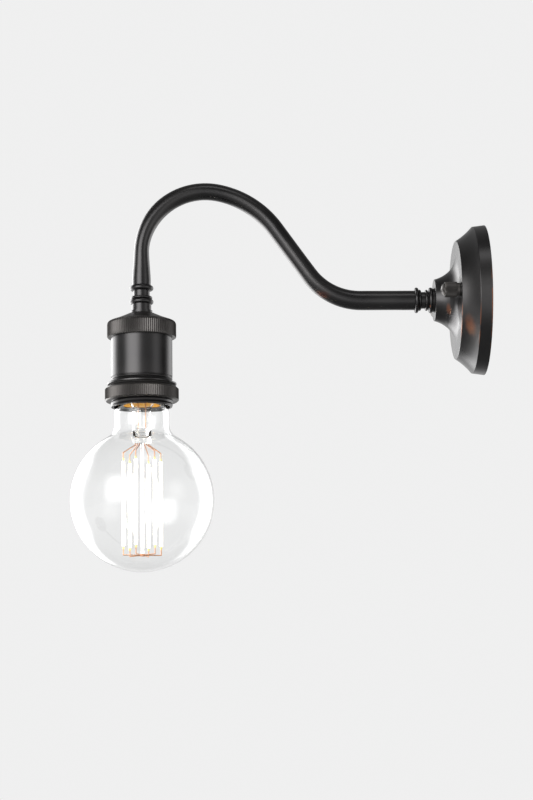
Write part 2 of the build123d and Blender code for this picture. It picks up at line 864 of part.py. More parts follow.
with BuildPart() as glass_stem:
    with BuildSketch(beside_socket):
        with BuildLine():
            Polyline(
                (stem_flare_radius, glass_top),
                (stem_radius, flare_bottom),
                (stem_radius, stem_bottom),
                (0, stem_bottom),
                (0, stem_bottom + stem_wall),
                (stem_radius - stem_wall, stem_bottom + stem_wall),
                (stem_radius - stem_wall, flare_bottom),
                (stem_flare_radius - stem_wall, glass_top),
                close=True,
            )
        make_face()
    revolve(axis=socket_axis)
    with BuildSketch(at_height(stem_bottom)):
        Circle(stem_radius)
    with BuildSketch(at_height(stem_bottom - pinch_taper)) as pinch_section:
        Ellipse(pinch_thickness / 2, pinch_width / 2)
    loft()
    extrude(pinch_section.sketch, amount=-pinch_length)
save(glass_stem, "glass_stem")

filament_top = bulb_top - filament_top_drop
filament_bottom = filament_top - filament_length
hub_level = filament_bottom - weld_reach
hub_top = hub_level + hub_height / 2


def filament_place(index, height):
    """A point on the filament ring, counted from the wall side towards the room's right."""
    angle = radians(filament_turn + index * 360 / filament_count)
    reach = filament_ring_radius
    return Vector(reach * sin(angle), socket_y + reach * cos(angle), height)


def wire_between(start, end, radius):
    """A straight wire from one point to another."""
    with Locations(Plane(origin=start, z_dir=end - start)):
        Cylinder(
            radius, (end - start).length, align=(Align.CENTER, Align.CENTER, Align.MIN)
        )


with BuildPart() as centre_post:
    with BuildSketch(at_height(pinch_bottom)):
        Circle(post_radius)
    extrude(amount=hub_top - pinch_bottom)
save(centre_post, "centre_post")

with BuildPart() as led_filaments:
    for index in range(filament_count):
        top = filament_place(index, filament_top - filament_cap_length)
        bottom = filament_place(index, filament_bottom + filament_cap_length)
        wire_between(top, bottom, filament_radius)
save(led_filaments, "led_filaments")

with BuildPart() as filament_caps:
    for index in range(filament_count):
        for outer, inner in (
            (filament_top, filament_top - filament_cap_length),
            (filament_bottom, filament_bottom + filament_cap_length),
        ):
            wire_between(
                filament_place(index, outer),
                filament_place(index, inner),
                filament_radius - wire_radius,
            )
save(filament_caps, "filament_caps")

# Each upper wire leaves the pinch in the order of its filament, so that none cross
exit_order = sorted(range(filament_count), key=lambda index: filament_place(index, 0).Y)
with BuildPart() as upper_wires:
    for rank, index in enumerate(exit_order):
        from_middle = rank - (filament_count - 1) / 2
        exit_side = 1 if from_middle > 0 else -1
        exit_y = from_middle * wire_exit_pitch
        exit_y += exit_side * (wire_exit_first - wire_exit_pitch / 2) + socket_y
        leaves = Vector(0, exit_y, pinch_bottom)
        bends = Vector(0, exit_y, pinch_bottom - wire_exit_drop)
        weld = filament_place(index, filament_top + weld_reach)
        wire_between(leaves, bends, wire_radius)
        wire_between(bends, weld, wire_radius)
        wire_between(weld, filament_place(index, filament_top), wire_radius)
        with Locations(bends, weld):
            Sphere(wire_radius)
save(upper_wires, "upper_wires")

with BuildPart() as lower_spider:
    with BuildSketch(at_height(hub_level - hub_height / 2)):
        Circle(hub_radius)
    extrude(amount=hub_height)
    for index in range(filament_count):
        weld = filament_place(index, hub_level)
        wire_between(Vector(0, socket_y, hub_level), weld, wire_radius)
        wire_between(filament_place(index, filament_bottom), weld, wire_radius)
        with Locations(weld):
            Sphere(wire_radius)
save(lower_spider, "lower_spider")

# ---------------------------------------------------------------- driver in the bulb base
board_top = glass_top + driver_board_height
with BuildPart() as driver_board:
    with BuildSketch(at_height(glass_top)):
        Rectangle(driver_board_thickness, driver_board_width)
    extrude(amount=driver_board_height)
save(driver_board, "driver_board")

with BuildPart() as driver_parts:
    board_face = driver_board_thickness / 2
    with Locations((board_face + capacitor_radius, socket_y, glass_top + wire_radius)):
        Cylinder(
            capacitor_radius, capacitor_length, align=(Align.CENTER, Align.CENTER, Align.MIN)
        )
    with Locations((-board_face - choke_radius, socket_y, glass_top + wire_radius)):
        Cylinder(choke_radius, choke_length, align=(Align.CENTER, Align.CENTER, Align.MIN))
save(driver_parts, "driver_parts")

with BuildPart() as bulb_wires:
    tip_underside = bulb_top - tip_contact_height
    wire_between(Vector(0, socket_y, board_top), Vector(0, socket_y, tip_underside), wire_radius)
    for offset_y in (-stem_wire_offset, stem_wire_offset):
        wire_between(
            Vector(0, socket_y + offset_y, glass_top),
            Vector(0, socket_y + offset_y, stem_bottom + stem_wall),
            wire_radius,
        )
save(bulb_wires, "bulb_wires")

# ---------------------------------------------------------------- leads through the arm
lead_start = root_locknut_start - nipple_tail - lead_tail
fan_shift = lead_landing - lead_spread
fan_turn = degrees(acos(1 - fan_shift / (2 * lead_bend_radius)))
socket_nipple_end = tip_locknut_top - locknut_thickness - nipple_tail

# Below the socket's nipple each lead swings out to its terminal in two equal bends
with BuildLine(beside_socket) as lead_fan:
    fan_entry = Line((lead_spread, tip_z), (lead_spread, socket_nipple_end))
    fan_out = JernArc(fan_entry @ 1, fan_entry % 1, lead_bend_radius, fan_turn)
    fan_back = JernArc(fan_out @ 1, fan_out % 1, lead_bend_radius, -fan_turn)
    fan_landing = fan_back @ 1
    Line(fan_landing, Vector(fan_landing.X, fan_landing.Y, plate_top))

with BuildPart() as neutral_lead:
    with BuildLine():
        Line((lead_spread, -lead_start, 0), (lead_spread, -arm_root, 0))
        add(arm_path.line.moved(Location((lead_spread, 0, 0))))
        add(lead_fan.line)
    with BuildSketch(Plane(origin=(lead_spread, -lead_start, 0), z_dir=(0, -1, 0))):
        Circle(lead_radius)
    sweep()
save(neutral_lead, "neutral_lead")

with BuildPart() as line_lead:
    mirror(neutral_lead.part, about=Plane.YZ)
save(line_lead, "line_lead")

lead_edges = lead_fan.edges() + arm_path.edges()
lead_route = sum(edge.length for edge in lead_edges) + arm_root - lead_start
lead_volume = lead_route * pi * lead_radius**2
print(f"lead: {lead_route:.1f} mm long, volume {neutral_lead.part.volume:.1f} of {lead_volume:.1f}")
print(f"socket axis at Y {socket_y:.2f}, lowest point Z {bulb_bottom:.2f}")
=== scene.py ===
"""Looks of the gooseneck wall sconce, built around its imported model. Lengths are in metres."""

import json
import logging
import math
from dataclasses import dataclass, field
from enum import Enum

import bmesh
import bpy
from mathutils import Matrix, Vector

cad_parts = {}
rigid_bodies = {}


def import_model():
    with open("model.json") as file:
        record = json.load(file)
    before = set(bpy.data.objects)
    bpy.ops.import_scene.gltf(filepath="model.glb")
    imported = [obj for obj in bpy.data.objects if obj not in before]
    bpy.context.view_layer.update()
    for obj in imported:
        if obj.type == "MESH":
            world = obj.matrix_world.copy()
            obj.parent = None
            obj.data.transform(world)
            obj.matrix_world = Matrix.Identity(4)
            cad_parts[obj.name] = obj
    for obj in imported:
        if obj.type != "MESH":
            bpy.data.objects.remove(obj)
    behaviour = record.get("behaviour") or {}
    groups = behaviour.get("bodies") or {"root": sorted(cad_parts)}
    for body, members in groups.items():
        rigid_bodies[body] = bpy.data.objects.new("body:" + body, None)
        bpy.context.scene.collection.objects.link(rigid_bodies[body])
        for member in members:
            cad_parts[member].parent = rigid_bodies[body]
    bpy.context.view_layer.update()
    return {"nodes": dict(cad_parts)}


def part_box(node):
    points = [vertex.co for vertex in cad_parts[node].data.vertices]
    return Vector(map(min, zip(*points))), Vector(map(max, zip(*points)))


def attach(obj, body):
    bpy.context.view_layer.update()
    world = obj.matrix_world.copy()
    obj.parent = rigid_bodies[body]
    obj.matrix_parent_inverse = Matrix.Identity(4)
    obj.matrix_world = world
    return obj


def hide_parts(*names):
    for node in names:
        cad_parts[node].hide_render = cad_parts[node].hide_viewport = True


# Blender's default objects go first, so that only the lamp and its studio are there.
for leftover in list(bpy.data.objects):
    bpy.data.objects.remove(leftover)

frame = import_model()

logging.basicConfig(level=logging.INFO, format="%(message)s")
LOG = logging.getLogger("sconce")

MM = 0.001
HAIR = 0.1 * MM  # a step that only keeps an edge crisp
WELD = 0.002 * MM  # vertices nearer than this become one
FULL_TURN = 2 * math.pi
RIDGE_VERTICES = 4

Node = bpy.types.Node
Socket = bpy.types.NodeSocket
Piece = bpy.types.Object
Material = bpy.types.Material
Triple = tuple[float, float, float]
Colour = tuple[float, float, float, float]


class Body(Enum):
    """The moving bodies that modelled pieces ride on."""

    FIXTURE = "fixture"
    LEFT_NUT = "left_nut"
    RIGHT_NUT = "right_nut"
    SHADE_RING = "shade_ring"
    BULB = "bulb"


class Slot(Enum):
    """The record's material slots, one named in each modelled piece's fitting but not used."""

    DARK_BRONZE = "dark_bronze"
    KNURLED_BRONZE = "knurled_bronze"
    ZINC_STEEL = "zinc_steel"
    CLEAR_GLASS = "clear_glass"
    NICKEL_BASE = "nickel_base"


class End(Enum):
    """How a turned piece ends at the last ring of its profile."""

    POINT = "point"
    LOOP = "loop"


# ---------------------------------------------------------------- node graphs
@dataclass
class Graph:
    """A material's, a lamp's or the world's node tree, with short calls for what they share."""

    tree: bpy.types.NodeTree

    def node(self, kind: str, **settings: object) -> Node:
        """Add a node and set its plain properties.

        Args:
            kind: The node's type name.
            **settings: Properties of the node by name.

        Returns:
            The new node.
        """
        added = self.tree.nodes.new(kind)
        for name, value in settings.items():
            setattr(added, name, value)
        return added

    def fill(self, node: Node, values: dict[str | int, object]) -> Node:
        """Fill a node's inputs by links or plain values.

        Args:
            node: The node to fill.
            values: A socket, number or colour for each input's name or number.

        Returns:
            The same node.
        """
        for key, source in values.items():
            if isinstance(source, bpy.types.NodeSocket):
                self.tree.links.new(source, node.inputs[key])
            else:
                node.inputs[key].default_value = source
        return node

    def math(self, operation: str, first: object, second: object = 0.0, clamp: bool = False) -> Socket:
        """One step of arithmetic; with clamp, the result stays between 0 and 1."""
        step = self.node("ShaderNodeMath", operation=operation, use_clamp=clamp)
        return self.fill(step, {0: first, 1: second}).outputs[0]

    def hypot(self, first: Socket, second: Socket) -> Socket:
        """The distance that two offsets at a right angle make."""
        squares = [self.math("POWER", side, 2.0) for side in (first, second)]
        return self.math("SQRT", self.math("ADD", *squares))

    def vector(self, operation: str, first: object, second: Triple = (0, 0, 0)) -> Node:
        """One step of vector arithmetic; returns its node."""
        step = self.node("ShaderNodeVectorMath", operation=operation)
        return self.fill(step, {0: first, 1: second})

    def length(self, vector: Socket) -> Socket:
        """A vector's length."""
        return self.vector("LENGTH", vector).outputs["Value"]

    def split(self, vector: Socket) -> dict[str, Socket]:
        """A vector's three numbers, by their names X, Y and Z."""
        outputs = self.fill(self.node("ShaderNodeSeparateXYZ"), {0: vector}).outputs
        return {output.name: output for output in outputs}

    def smooth(
        self, value: object, low: float, high: float, start: float = 0.0, end: float = 1.0
    ) -> Socket:
        """A smooth step from one value to another.

        Args:
            value: What is measured.
            low: Where the step starts.
            high: Where the step ends.
            start: The result below low.
            end: The result above high.

        Returns:
            The result's socket.
        """
        step = self.node("ShaderNodeMapRange", interpolation_type="SMOOTHSTEP")
        values = {"Value": value, "From Min": low, "From Max": high, "To Min": start, "To Max": end}
        return self.fill(step, values).outputs["Result"]

    def blend(self, share: object, first: object, second: object) -> Socket:
        """A colour between two; share 0 is the first."""
        mixer = self.node("ShaderNodeMix", data_type="RGBA")
        return self.fill(mixer, {0: share, 6: first, 7: second}).outputs[2]

    def either(self, share: Socket, first: Node, second: Node) -> Node:
        """A shader between two; share 0 is the first."""
        mixer = self.node("ShaderNodeMixShader")
        return self.fill(mixer, {0: share, 1: first.outputs[0], 2: second.outputs[0]})

    def rays(self) -> tuple[Socket, Socket]:
        """Tell apart how a surface is met.

        Returns:
            Whether it is seen straight or through glass, and whether it is seen in a gloss.
        """
        path = self.node("ShaderNodeLightPath").outputs
        shown = self.math("ADD", path["Is Camera Ray"], path["Is Transmission Ray"], clamp=True)
        return shown, path["Is Glossy Ray"]

    def place(self) -> Socket:
        """The point's place in the object's own coordinates."""
        return self.node("ShaderNodeTexCoord").outputs["Object"]

    def noise(self, scale: float, detail: float = 2.0, stretch: Triple = (1, 1, 1)) -> Socket:
        """Cloudy noise in object coordinates.

        Args:
            scale: Clouds per metre.
            detail: Octaves of the noise.
            stretch: Scale along each axis.

        Returns:
            The noise's value, about 0.5 on average.
        """
        mapping = self.node("ShaderNodeMapping")
        self.fill(mapping, {"Vector": self.place(), "Scale": stretch})
        values = {"Vector": mapping.outputs[0], "Scale": scale, "Detail": detail}
        return self.fill(self.node("ShaderNodeTexNoise"), values).outputs[0]

    def bump(self, height: Socket, distance: float, strength: float) -> Socket:
        """A surface relief of a depth in metres."""
        values = {"Strength": strength, "Distance": distance, "Height": height}
        return self.fill(self.node("ShaderNodeBump"), values).outputs[0]


def graph_of(name: str) -> tuple[Material, Graph, Node]:
    """Start a material.

    Args:
        name: The material's name.

    Returns:
        The material, its graph and its principled shader.
    """
    material = bpy.data.materials.new(name)
    material.use_nodes = True
    return material, Graph(material.node_tree), material.node_tree.nodes["Principled BSDF"]


# ---------------------------------------------------------------- finishes
@dataclass(frozen=True)
class Clouds:
    """Noise that is stepped smoothly from a low to a high value of its own."""

    scale: float
    detail: float
    low: float
    high: float
    least: float = 0.0

    def build(self, graph: Graph) -> Socket:
        """Add the clouds; returns their share, from least to 1."""
        return graph.smooth(graph.noise(self.scale, self.detail), self.low, self.high, self.least)


@dataclass(frozen=True)
class WornSpot:
    """A soft patch where the dark finish is rubbed through to copper."""

    centre: Triple
    reach: Triple
    strength: float
    core: float = 0.15

    def mask(self, graph: Graph) -> Socket:
        """The share of copper that the patch gives."""
        offset = graph.vector("SUBTRACT", graph.place(), self.centre)
        away = graph.length(graph.vector("DIVIDE", offset.outputs[0], self.reach).outputs[0])
        return graph.smooth(away, self.core, 1.0, self.strength, 0.0)


@dataclass(frozen=True)
class WornEdge:
    """A thin broken line of copper along a turned edge about the wall axis, round a height."""

    radius: float
    distance: float
    width: float
    strength: float
    height: float = -0.018
    spread: float = 0.016
    core: float = 0.3
    breaks: Clouds = Clouds(130.0, 3.0, 0.36, 0.54)

    def mask(self, graph: Graph) -> Socket:
        """The share of copper that the edge gives.

        Args:
            graph: The finish's graph.

        Returns:
            The share's socket; it fades away from the edge and from its own height.
        """
        place = graph.split(graph.place())
        off_radius = graph.math("SUBTRACT", graph.hypot(place["X"], place["Z"]), self.radius)
        away = graph.hypot(off_radius, graph.math("ADD", place["Y"], self.distance))
        line = graph.smooth(away, self.width * self.core, self.width, self.strength, 0.0)
        off_height = graph.math("ABSOLUTE", graph.math("SUBTRACT", place["Z"], self.height))
        nearby = graph.smooth(off_height, self.spread * self.core, self.spread, 1.0, 0.0)
        return graph.math("MULTIPLY", line, graph.math("MULTIPLY", nearby, self.breaks.build(graph)))


@dataclass(frozen=True)
class BronzeFinish:
    """Satin oil-rubbed bronze, nearly black, with copper where it is rubbed through."""

    name: str = "dark_bronze"
    dark: Colour = (0.050, 0.049, 0.050, 1)
    light: Colour = (0.064, 0.062, 0.062, 1)
    copper: Colour = (0.34, 0.125, 0.06, 1)
    metallic: float = 0.92
    smoothest: float = 0.27
    roughest: float = 0.32
    clouds: Clouds = Clouds(30.0, 4.0, 0.3, 0.7)
    rubbed: Clouds = Clouds(420.0, 4.0, 0.25, 0.6, 0.55)
    grain_scale: float = 700.0
    grain_detail: float = 3.0
    grain_depth: float = 0.00001
    grain_strength: float = 0.2
    wear: tuple[WornSpot | WornEdge, ...] = ()

    def build(self) -> Material:
        """Make the material."""
        material, graph, shader = graph_of(self.name)
        cloud = self.clouds.build(graph)
        grain = graph.noise(self.grain_scale, self.grain_detail)
        colour = graph.blend(cloud, self.dark, self.light)
        worn: object = 0.0
        for place in self.wear:
            worn = graph.math("MAXIMUM", worn, place.mask(graph))
        if self.wear:
            bare = graph.math("MULTIPLY", worn, self.rubbed.build(graph), clamp=True)
            colour = graph.blend(bare, colour, self.copper)
        values = {
            "Base Color": colour,
            "Metallic": self.metallic,
            "Roughness": graph.smooth(cloud, 0.0, 1.0, self.smoothest, self.roughest),
            "Normal": graph.bump(grain, self.grain_depth, self.grain_strength),
        }
        graph.fill(shader, values)
        return material


@dataclass(frozen=True)
class PlatedFinish:
    """Metal with a faint drawn grain, plain, plated or painted on, and able to carry a painted glow:
    emission in its own colour that stands in for light falling on it.
    """

    name: str
    colour: Colour
    shade: Colour
    smoothest: float = 0.22
    roughest: float = 0.4
    grain_scale: float = 500.0
    # glow is painted light: an emission of the surface's own colour that stands in for light falling on
    # it
    glow: float = 0.0
    clouds: Clouds = Clouds(90.0, 4.0, 0.3, 0.7)
    grain_stretch: Triple = (1.0, 1.0, 0.15)
    grain_depth: float = 0.00002
    grain_strength: float = 0.4

    def build(self) -> Material:
        """Make the material."""
        material, graph, shader = graph_of(self.name)
        cloud = self.clouds.build(graph)
        grain = graph.noise(self.grain_scale, stretch=self.grain_stretch)
        values = {
            "Base Color": graph.blend(cloud, self.shade, self.colour),
            "Metallic": 1.0,
            "Roughness": graph.smooth(cloud, 0.0, 1.0, self.roughest, self.smoothest),
            "Normal": graph.bump(grain, self.grain_depth, self.grain_strength),
        }
        # painted glow: emission standing in for light that falls on the surface
        if self.glow:
            values |= {"Emission Color": self.colour, "Emission Strength": self.glow}
        graph.fill(shader, values)
        return material


@dataclass(frozen=True)
class MouldedFinish:
    """Moulded, fired or painted material: insulation, porcelain, board, fibre."""

    name: str
    colour: Colour
    shade: Colour
    rough: float = 0.45
    cloud_scale: float = 160.0
    relief: float = 0.00002
    coat: float = 0.0
    cloud_detail: float = 4.0
    cloud_low: float = 0.35
    cloud_high: float = 0.7
    grain_ratio: float = 6.0
    grain_detail: float = 3.0
    grain_strength: float = 0.4

    def build(self) -> Material:
        """Make the material."""
        material, graph, shader = graph_of(self.name)
        clouds = Clouds(self.cloud_scale, self.cloud_detail, self.cloud_low, self.cloud_high)
        grain = graph.noise(self.cloud_scale * self.grain_ratio, self.grain_detail)
        values = {
            "Base Color": graph.blend(clouds.build(graph), self.colour, self.shade),
            "Roughness": self.rough,
            "Coat Weight": self.coat,
            "Normal": graph.bump(grain, self.relief, self.grain_strength),
        }
        graph.fill(shader, values)
        return material


@dataclass(frozen=True)
class GlassFinish:
    """Clear thin glass with a slow ripple."""

    name: str = "clear_glass"
    colour: Colour = (0.995, 0.998, 0.997, 1)
    index: float = 1.47
    gloss: float = 0.2
    ripple_scale: float = 26.0
    ripple_depth: float = 0.0004
    ripple_strength: float = 0.2

    def build(self) -> Material:
        """Make the material."""
        material, graph, shader = graph_of(self.name)
        ripple = graph.noise(self.ripple_scale, 1.0)
        values = {
            "Base Color": self.colour,
            "Roughness": 0.0,
            "IOR": self.index,
            "Specular IOR Level": self.gloss,
            "Transmission Weight": 1.0,
            "Normal": graph.bump(ripple, self.ripple_depth, self.ripple_strength),
        }
        graph.fill(shader, values)
        return material


@dataclass(frozen=True)
class PhosphorFinish:
    """The yellow beaded phosphor coat of a lit filament, white-hot to the eye."""

    name: str = "phosphor"
    colour: Colour = (1.0, 0.86, 0.42, 1)
    bead_colour: Colour = (1.0, 0.93, 0.62, 1)
    glow_colour: Colour = (1.0, 0.9, 0.72, 1)
    glow: float = 6.0
    rough: float = 0.6
    bead_scale: float = 700.0
    bead_stretch: Triple = (1.0, 1.0, 0.6)
    bead_depth: float = 0.0001
    bead_strength: float = 0.5

    def build(self) -> Material:
        """Make the material."""
        material, graph, shader = graph_of(self.name)
        beads = graph.noise(self.bead_scale, stretch=self.bead_stretch)
        values = {
            "Base Color": graph.blend(beads, self.colour, self.bead_colour),
            "Roughness": self.rough,
            "Emission Color": self.glow_colour,
            "Emission Strength": self.glow,
            "Normal": graph.bump(beads, self.bead_depth, self.bead_strength),
        }
        graph.fill(shader, values)
        return material


# ---------------------------------------------------------------- modelling
@dataclass
class Profile:
    """A turned piece's outline, as points of radius and height."""

    points: list[tuple[float, float]] = field(default_factory=list)

    def to(self, *points: tuple[float, float]) -> "Profile":
        """Add straight runs to these points; returns the profile."""
        self.points.extend(points)
        return self

    def arc(
        self, radius: float, height: float, swing: float, start: float, end: float, steps: int = 8
    ) -> "Profile":
        """Add a round stretch.

        Args:
            radius: The arc centre's radius.
            height: The arc centre's height.
            swing: The arc's own radius.
            start: Where it starts, in degrees from straight outwards, counted upwards.
            end: Where it ends.
            steps: Its number of runs.

        Returns:
            The profile.
        """
        for step in range(steps + 1):
            angle = math.radians(start + (end - start) * step / steps)
            self.to((radius + swing * math.cos(angle), height + swing * math.sin(angle)))
        return self


def select_none() -> None:
    """Deselect every object."""
    for item in bpy.context.selected_objects:
        item.select_set(False)


def pick(piece: Piece) -> None:
    """Select one piece alone and make it active."""
    select_none()
    piece.select_set(True)
    bpy.context.view_layer.objects.active = piece


def start_editing(piece: Piece, select: str = "DESELECT") -> bmesh.types.BMesh:
    """Open one piece in edit mode.

    Args:
        piece: The piece.
        select: Whether all of it or nothing is selected, as the operator's action.

    Returns:
        Its edit mesh.
    """
    pick(piece)
    bpy.ops.object.mode_set(mode="EDIT")
    bpy.ops.mesh.select_all(action=select)
    return bmesh.from_edit_mesh(piece.data)


def stop_editing() -> None:
    """Go back to object mode."""
    bpy.ops.object.mode_set(mode="OBJECT")


def weld_and_stop() -> None:
    """Merge doubled vertices, turn all faces outwards and go back to object mode."""
    bpy.ops.mesh.select_all(action="SELECT")
    bpy.ops.mesh.remove_doubles(threshold=WELD)
    bpy.ops.mesh.normals_make_consistent(inside=False)
    stop_editing()


def apply_place(piece: Piece) -> None:
    """Put a piece's place, turn and scale into its mesh."""
    pick(piece)
    bpy.ops.object.transform_apply(location=True, rotation=True, scale=True)


def apply_modifier(piece: Piece, kind: str, **settings: object) -> None:
    """Add a modifier with these settings and apply it.

    Args:
        piece: The piece to change.
        kind: The modifier's type.
        **settings: Its properties by name.
    """
    pick(piece)
    bpy.ops.object.modifier_add(type=kind)
    modifier = piece.modifiers[-1]
    for name, value in settings.items():
        setattr(modifier, name, value)
    bpy.ops.object.modifier_apply(modifier=modifier.name)


def thicken(piece: Piece, wall: float) -> None:
    """Give an open surface a wall inwards, closed at its rims."""
    apply_modifier(piece, "SOLIDIFY", thickness=wall, offset=-1.0, use_rim=True)


def smooth(piece: Piece, angle: float) -> None:
    """Shade a piece smooth, with sharp edges past an angle in degrees."""
    pick(piece)
    bpy.ops.object.shade_smooth_by_angle(angle=math.radians(angle))


def join(pieces: list[Piece], name: str) -> Piece:
    """Join pieces into the first one.

    Args:
        pieces: The pieces, at least two.
        name: The joined piece's name.

    Returns:
        The joined piece.
    """
    pick(pieces[0])
    for piece in pieces[1:]:
        piece.select_set(True)
    bpy.ops.object.join()
    pieces[0].name = name
    return pieces[0]


def copy_of(piece: Piece, shift: Triple) -> Piece:
    """Copy a finished piece with its own mesh.

    Args:
        piece: The piece to copy.
        shift: How far the copy stands from it.

    Returns:
        The copy, with its place in its mesh.
    """
    pick(piece)
    bpy.ops.object.duplicate(linked=False)
    twin = bpy.context.active_object
    twin.location = shift
    apply_place(twin)
    return twin


@dataclass
class Lathe:
    """Turns pieces about the Z axis by drawing a ring of vertices along a profile."""

    segments: int

    def turn(self, name: str, profile: Profile, end: End = End.LOOP, disc_start: bool = False) -> Piece:
        """Turn one closed piece.

        Args:
            name: The piece's name.
            profile: Its outline, walked once round.
            end: How the last ring is closed.
            disc_start: Whether the first ring is closed by a flat disc.

        Returns:
            The piece, on the Z axis.
        """
        select_none()
        radius, height = profile.points[0]
        bpy.ops.mesh.primitive_circle_add(vertices=self.segments, radius=radius, location=(0, 0, height))
        piece = bpy.context.active_object
        piece.name = name
        apply_place(piece)
        start_editing(piece, "SELECT")
        if disc_start:
            bpy.ops.mesh.edge_face_add()
            bpy.ops.mesh.select_mode(type="EDGE")
        for next_radius, next_height in profile.points[1:]:
            rise = next_height - height
            bpy.ops.mesh.extrude_edges_move(TRANSFORM_OT_translate={"value": (0, 0, rise)})
            grow = next_radius / radius
            bpy.ops.transform.resize(value=(grow, grow, 1), center_override=(0, 0, next_height))
            radius, height = next_radius, next_height
        if end is End.POINT:
            bpy.ops.mesh.merge(type="CENTER")
        bpy.ops.mesh.select_mode(type="VERT")
        weld_and_stop()
        return piece

    def knurl(self, piece: Piece, low: float, high: float, least_radius: float, depth: float) -> None:
        """Cut straight V grooves round a band of a piece on the Z axis.

        Of every RIDGE_VERTICES vertices, the middle one moves in fully and its neighbours half.

        Args:
            piece: The piece to groove.
            low: The band's lowest height.
            high: Its highest height.
            least_radius: Vertices nearer to the axis stay.
            depth: How deep the grooves are.
        """
        for steps, share in (((2,), 1.0), ((1, 3), 0.5)):
            mesh = start_editing(piece)
            reach = 0.0
            for vertex in mesh.verts:
                away = math.hypot(vertex.co.x, vertex.co.y)
                in_band = low < vertex.co.z < high and away > least_radius
                step = round(math.atan2(vertex.co.y, vertex.co.x) / FULL_TURN * self.segments)
                vertex.select_set(in_band and step % RIDGE_VERTICES in steps)
                reach = max(reach, away) if in_band else reach
            mesh.select_flush_mode()
            bmesh.update_edit_mesh(piece.data)
            grow = (reach - depth * share) / reach
            bpy.ops.transform.resize(value=(grow, grow, 1), center_override=(0, 0, 0))
            stop_editing()


@dataclass
class Thread:
    """Cuts helical threads about the Z axis, between a root and a crest radius."""

    pitch: float
    root: float
    crest: float
    steps: int = 96
    flanks: int = 6
    rounded: bool = False
    phase_at: float = 0.0

    def radius_at(self, share: float) -> float:
        """The thread's radius at a share of one pitch."""
        wave = 0.5 - 0.5 * math.cos(FULL_TURN * share) if self.rounded else 1 - abs(2 * share - 1)
        return self.root + (self.crest - self.root) * wave

    def sleeve(self, name: str, low: float, high: float) -> Piece:
        """A threaded surface from one height to another, open at its two ends.

        Args:
            name: The piece's name.
            low: Its lowest height.
            high: Its highest height.

        Returns:
            The piece, on the Z axis, with its faces outwards.
        """
        select_none()
        start = self.phase_at + self.pitch * (math.floor((low - self.phase_at) / self.pitch) - 1)
        bpy.ops.mesh.primitive_plane_add(size=MM, location=(self.root, 0, start))
        piece = bpy.context.active_object
        piece.name = name
        apply_place(piece)
        start_editing(piece, "SELECT")
        bpy.ops.mesh.merge(type="CENTER")
        radius = self.root
        for flank in range(1, self.flanks + 1):
            next_radius = self.radius_at(flank / self.flanks)
            climb = (next_radius - radius, 0, self.pitch / self.flanks)
            bpy.ops.mesh.extrude_vertices_move(TRANSFORM_OT_translate={"value": climb})
            radius = next_radius
        stop_editing()
        apply_modifier(
            piece,
            "SCREW",
            angle=FULL_TURN,
            screw_offset=self.pitch,
            iterations=math.ceil((high - low) / self.pitch) + 2,
            steps=self.steps,
            render_steps=self.steps,
            use_merge_vertices=True,
            merge_threshold=WELD / 2,
            use_normal_calculate=False,
        )
        for height, upward in ((low, False), (high, True)):
            start_editing(piece, "SELECT")
            plane = {"plane_co": (0, 0, height), "plane_no": (0, 0, 1)}
            bpy.ops.mesh.bisect(**plane, clear_outer=upward, clear_inner=not upward)
            stop_editing()
        start_editing(piece)
        weld_and_stop()
        return piece

    def rod(self, name: str, low: float, high: float) -> Piece:
        """A threaded rod with flat closed ends.

        Args:
            name: The piece's name.
            low: Its lowest height.
            high: Its highest height.

        Returns:
            The piece, on the Z axis.
        """
        piece = self.sleeve(name, low, high)
        start_editing(piece)
        bpy.ops.mesh.select_mode(type="EDGE")
        bpy.ops.mesh.select_non_manifold()
        bpy.ops.mesh.edge_face_add()
        bpy.ops.mesh.select_mode(type="VERT")
        stop_editing()
        return piece


# ---------------------------------------------------------------- studio
@dataclass
class PhotoCamera:
    """The camera that took the photograph, as fitted to the lamp's own edges."""

    place: Triple = (1.7015, -0.2223, -0.3529)
    yaw: float = 2.55
    pitch: float = 9.52
    roll: float = -0.65
    focal_pixels: float = 2600.0
    picture_height: int = 800
    sensor: float = 36.0

    def build(self) -> None:
        """Add the camera and make it the scene's own."""
        yaw, pitch, roll = (math.radians(angle) for angle in (self.yaw, self.pitch, self.roll))
        ahead = Vector(
            (-math.cos(yaw) * math.cos(pitch), math.sin(yaw) * math.cos(pitch), math.sin(pitch))
        )
        level_right = ahead.cross(Vector((0, 0, 1))).normalized()
        level_up = level_right.cross(ahead)
        right = level_right * math.cos(roll) + level_up * math.sin(roll)
        up = level_up * math.cos(roll) - level_right * math.sin(roll)
        lens = bpy.data.cameras.new("photo_camera")
        lens.lens = self.focal_pixels / self.picture_height * self.sensor
        lens.sensor_width = self.sensor
        camera = bpy.data.objects.new("photo_camera", lens)
        turn = Matrix((right, up, -ahead)).transposed().to_4x4()
        camera.matrix_world = Matrix.Translation(self.place) @ turn
        bpy.context.scene.collection.objects.link(camera)
        bpy.context.scene.camera = camera


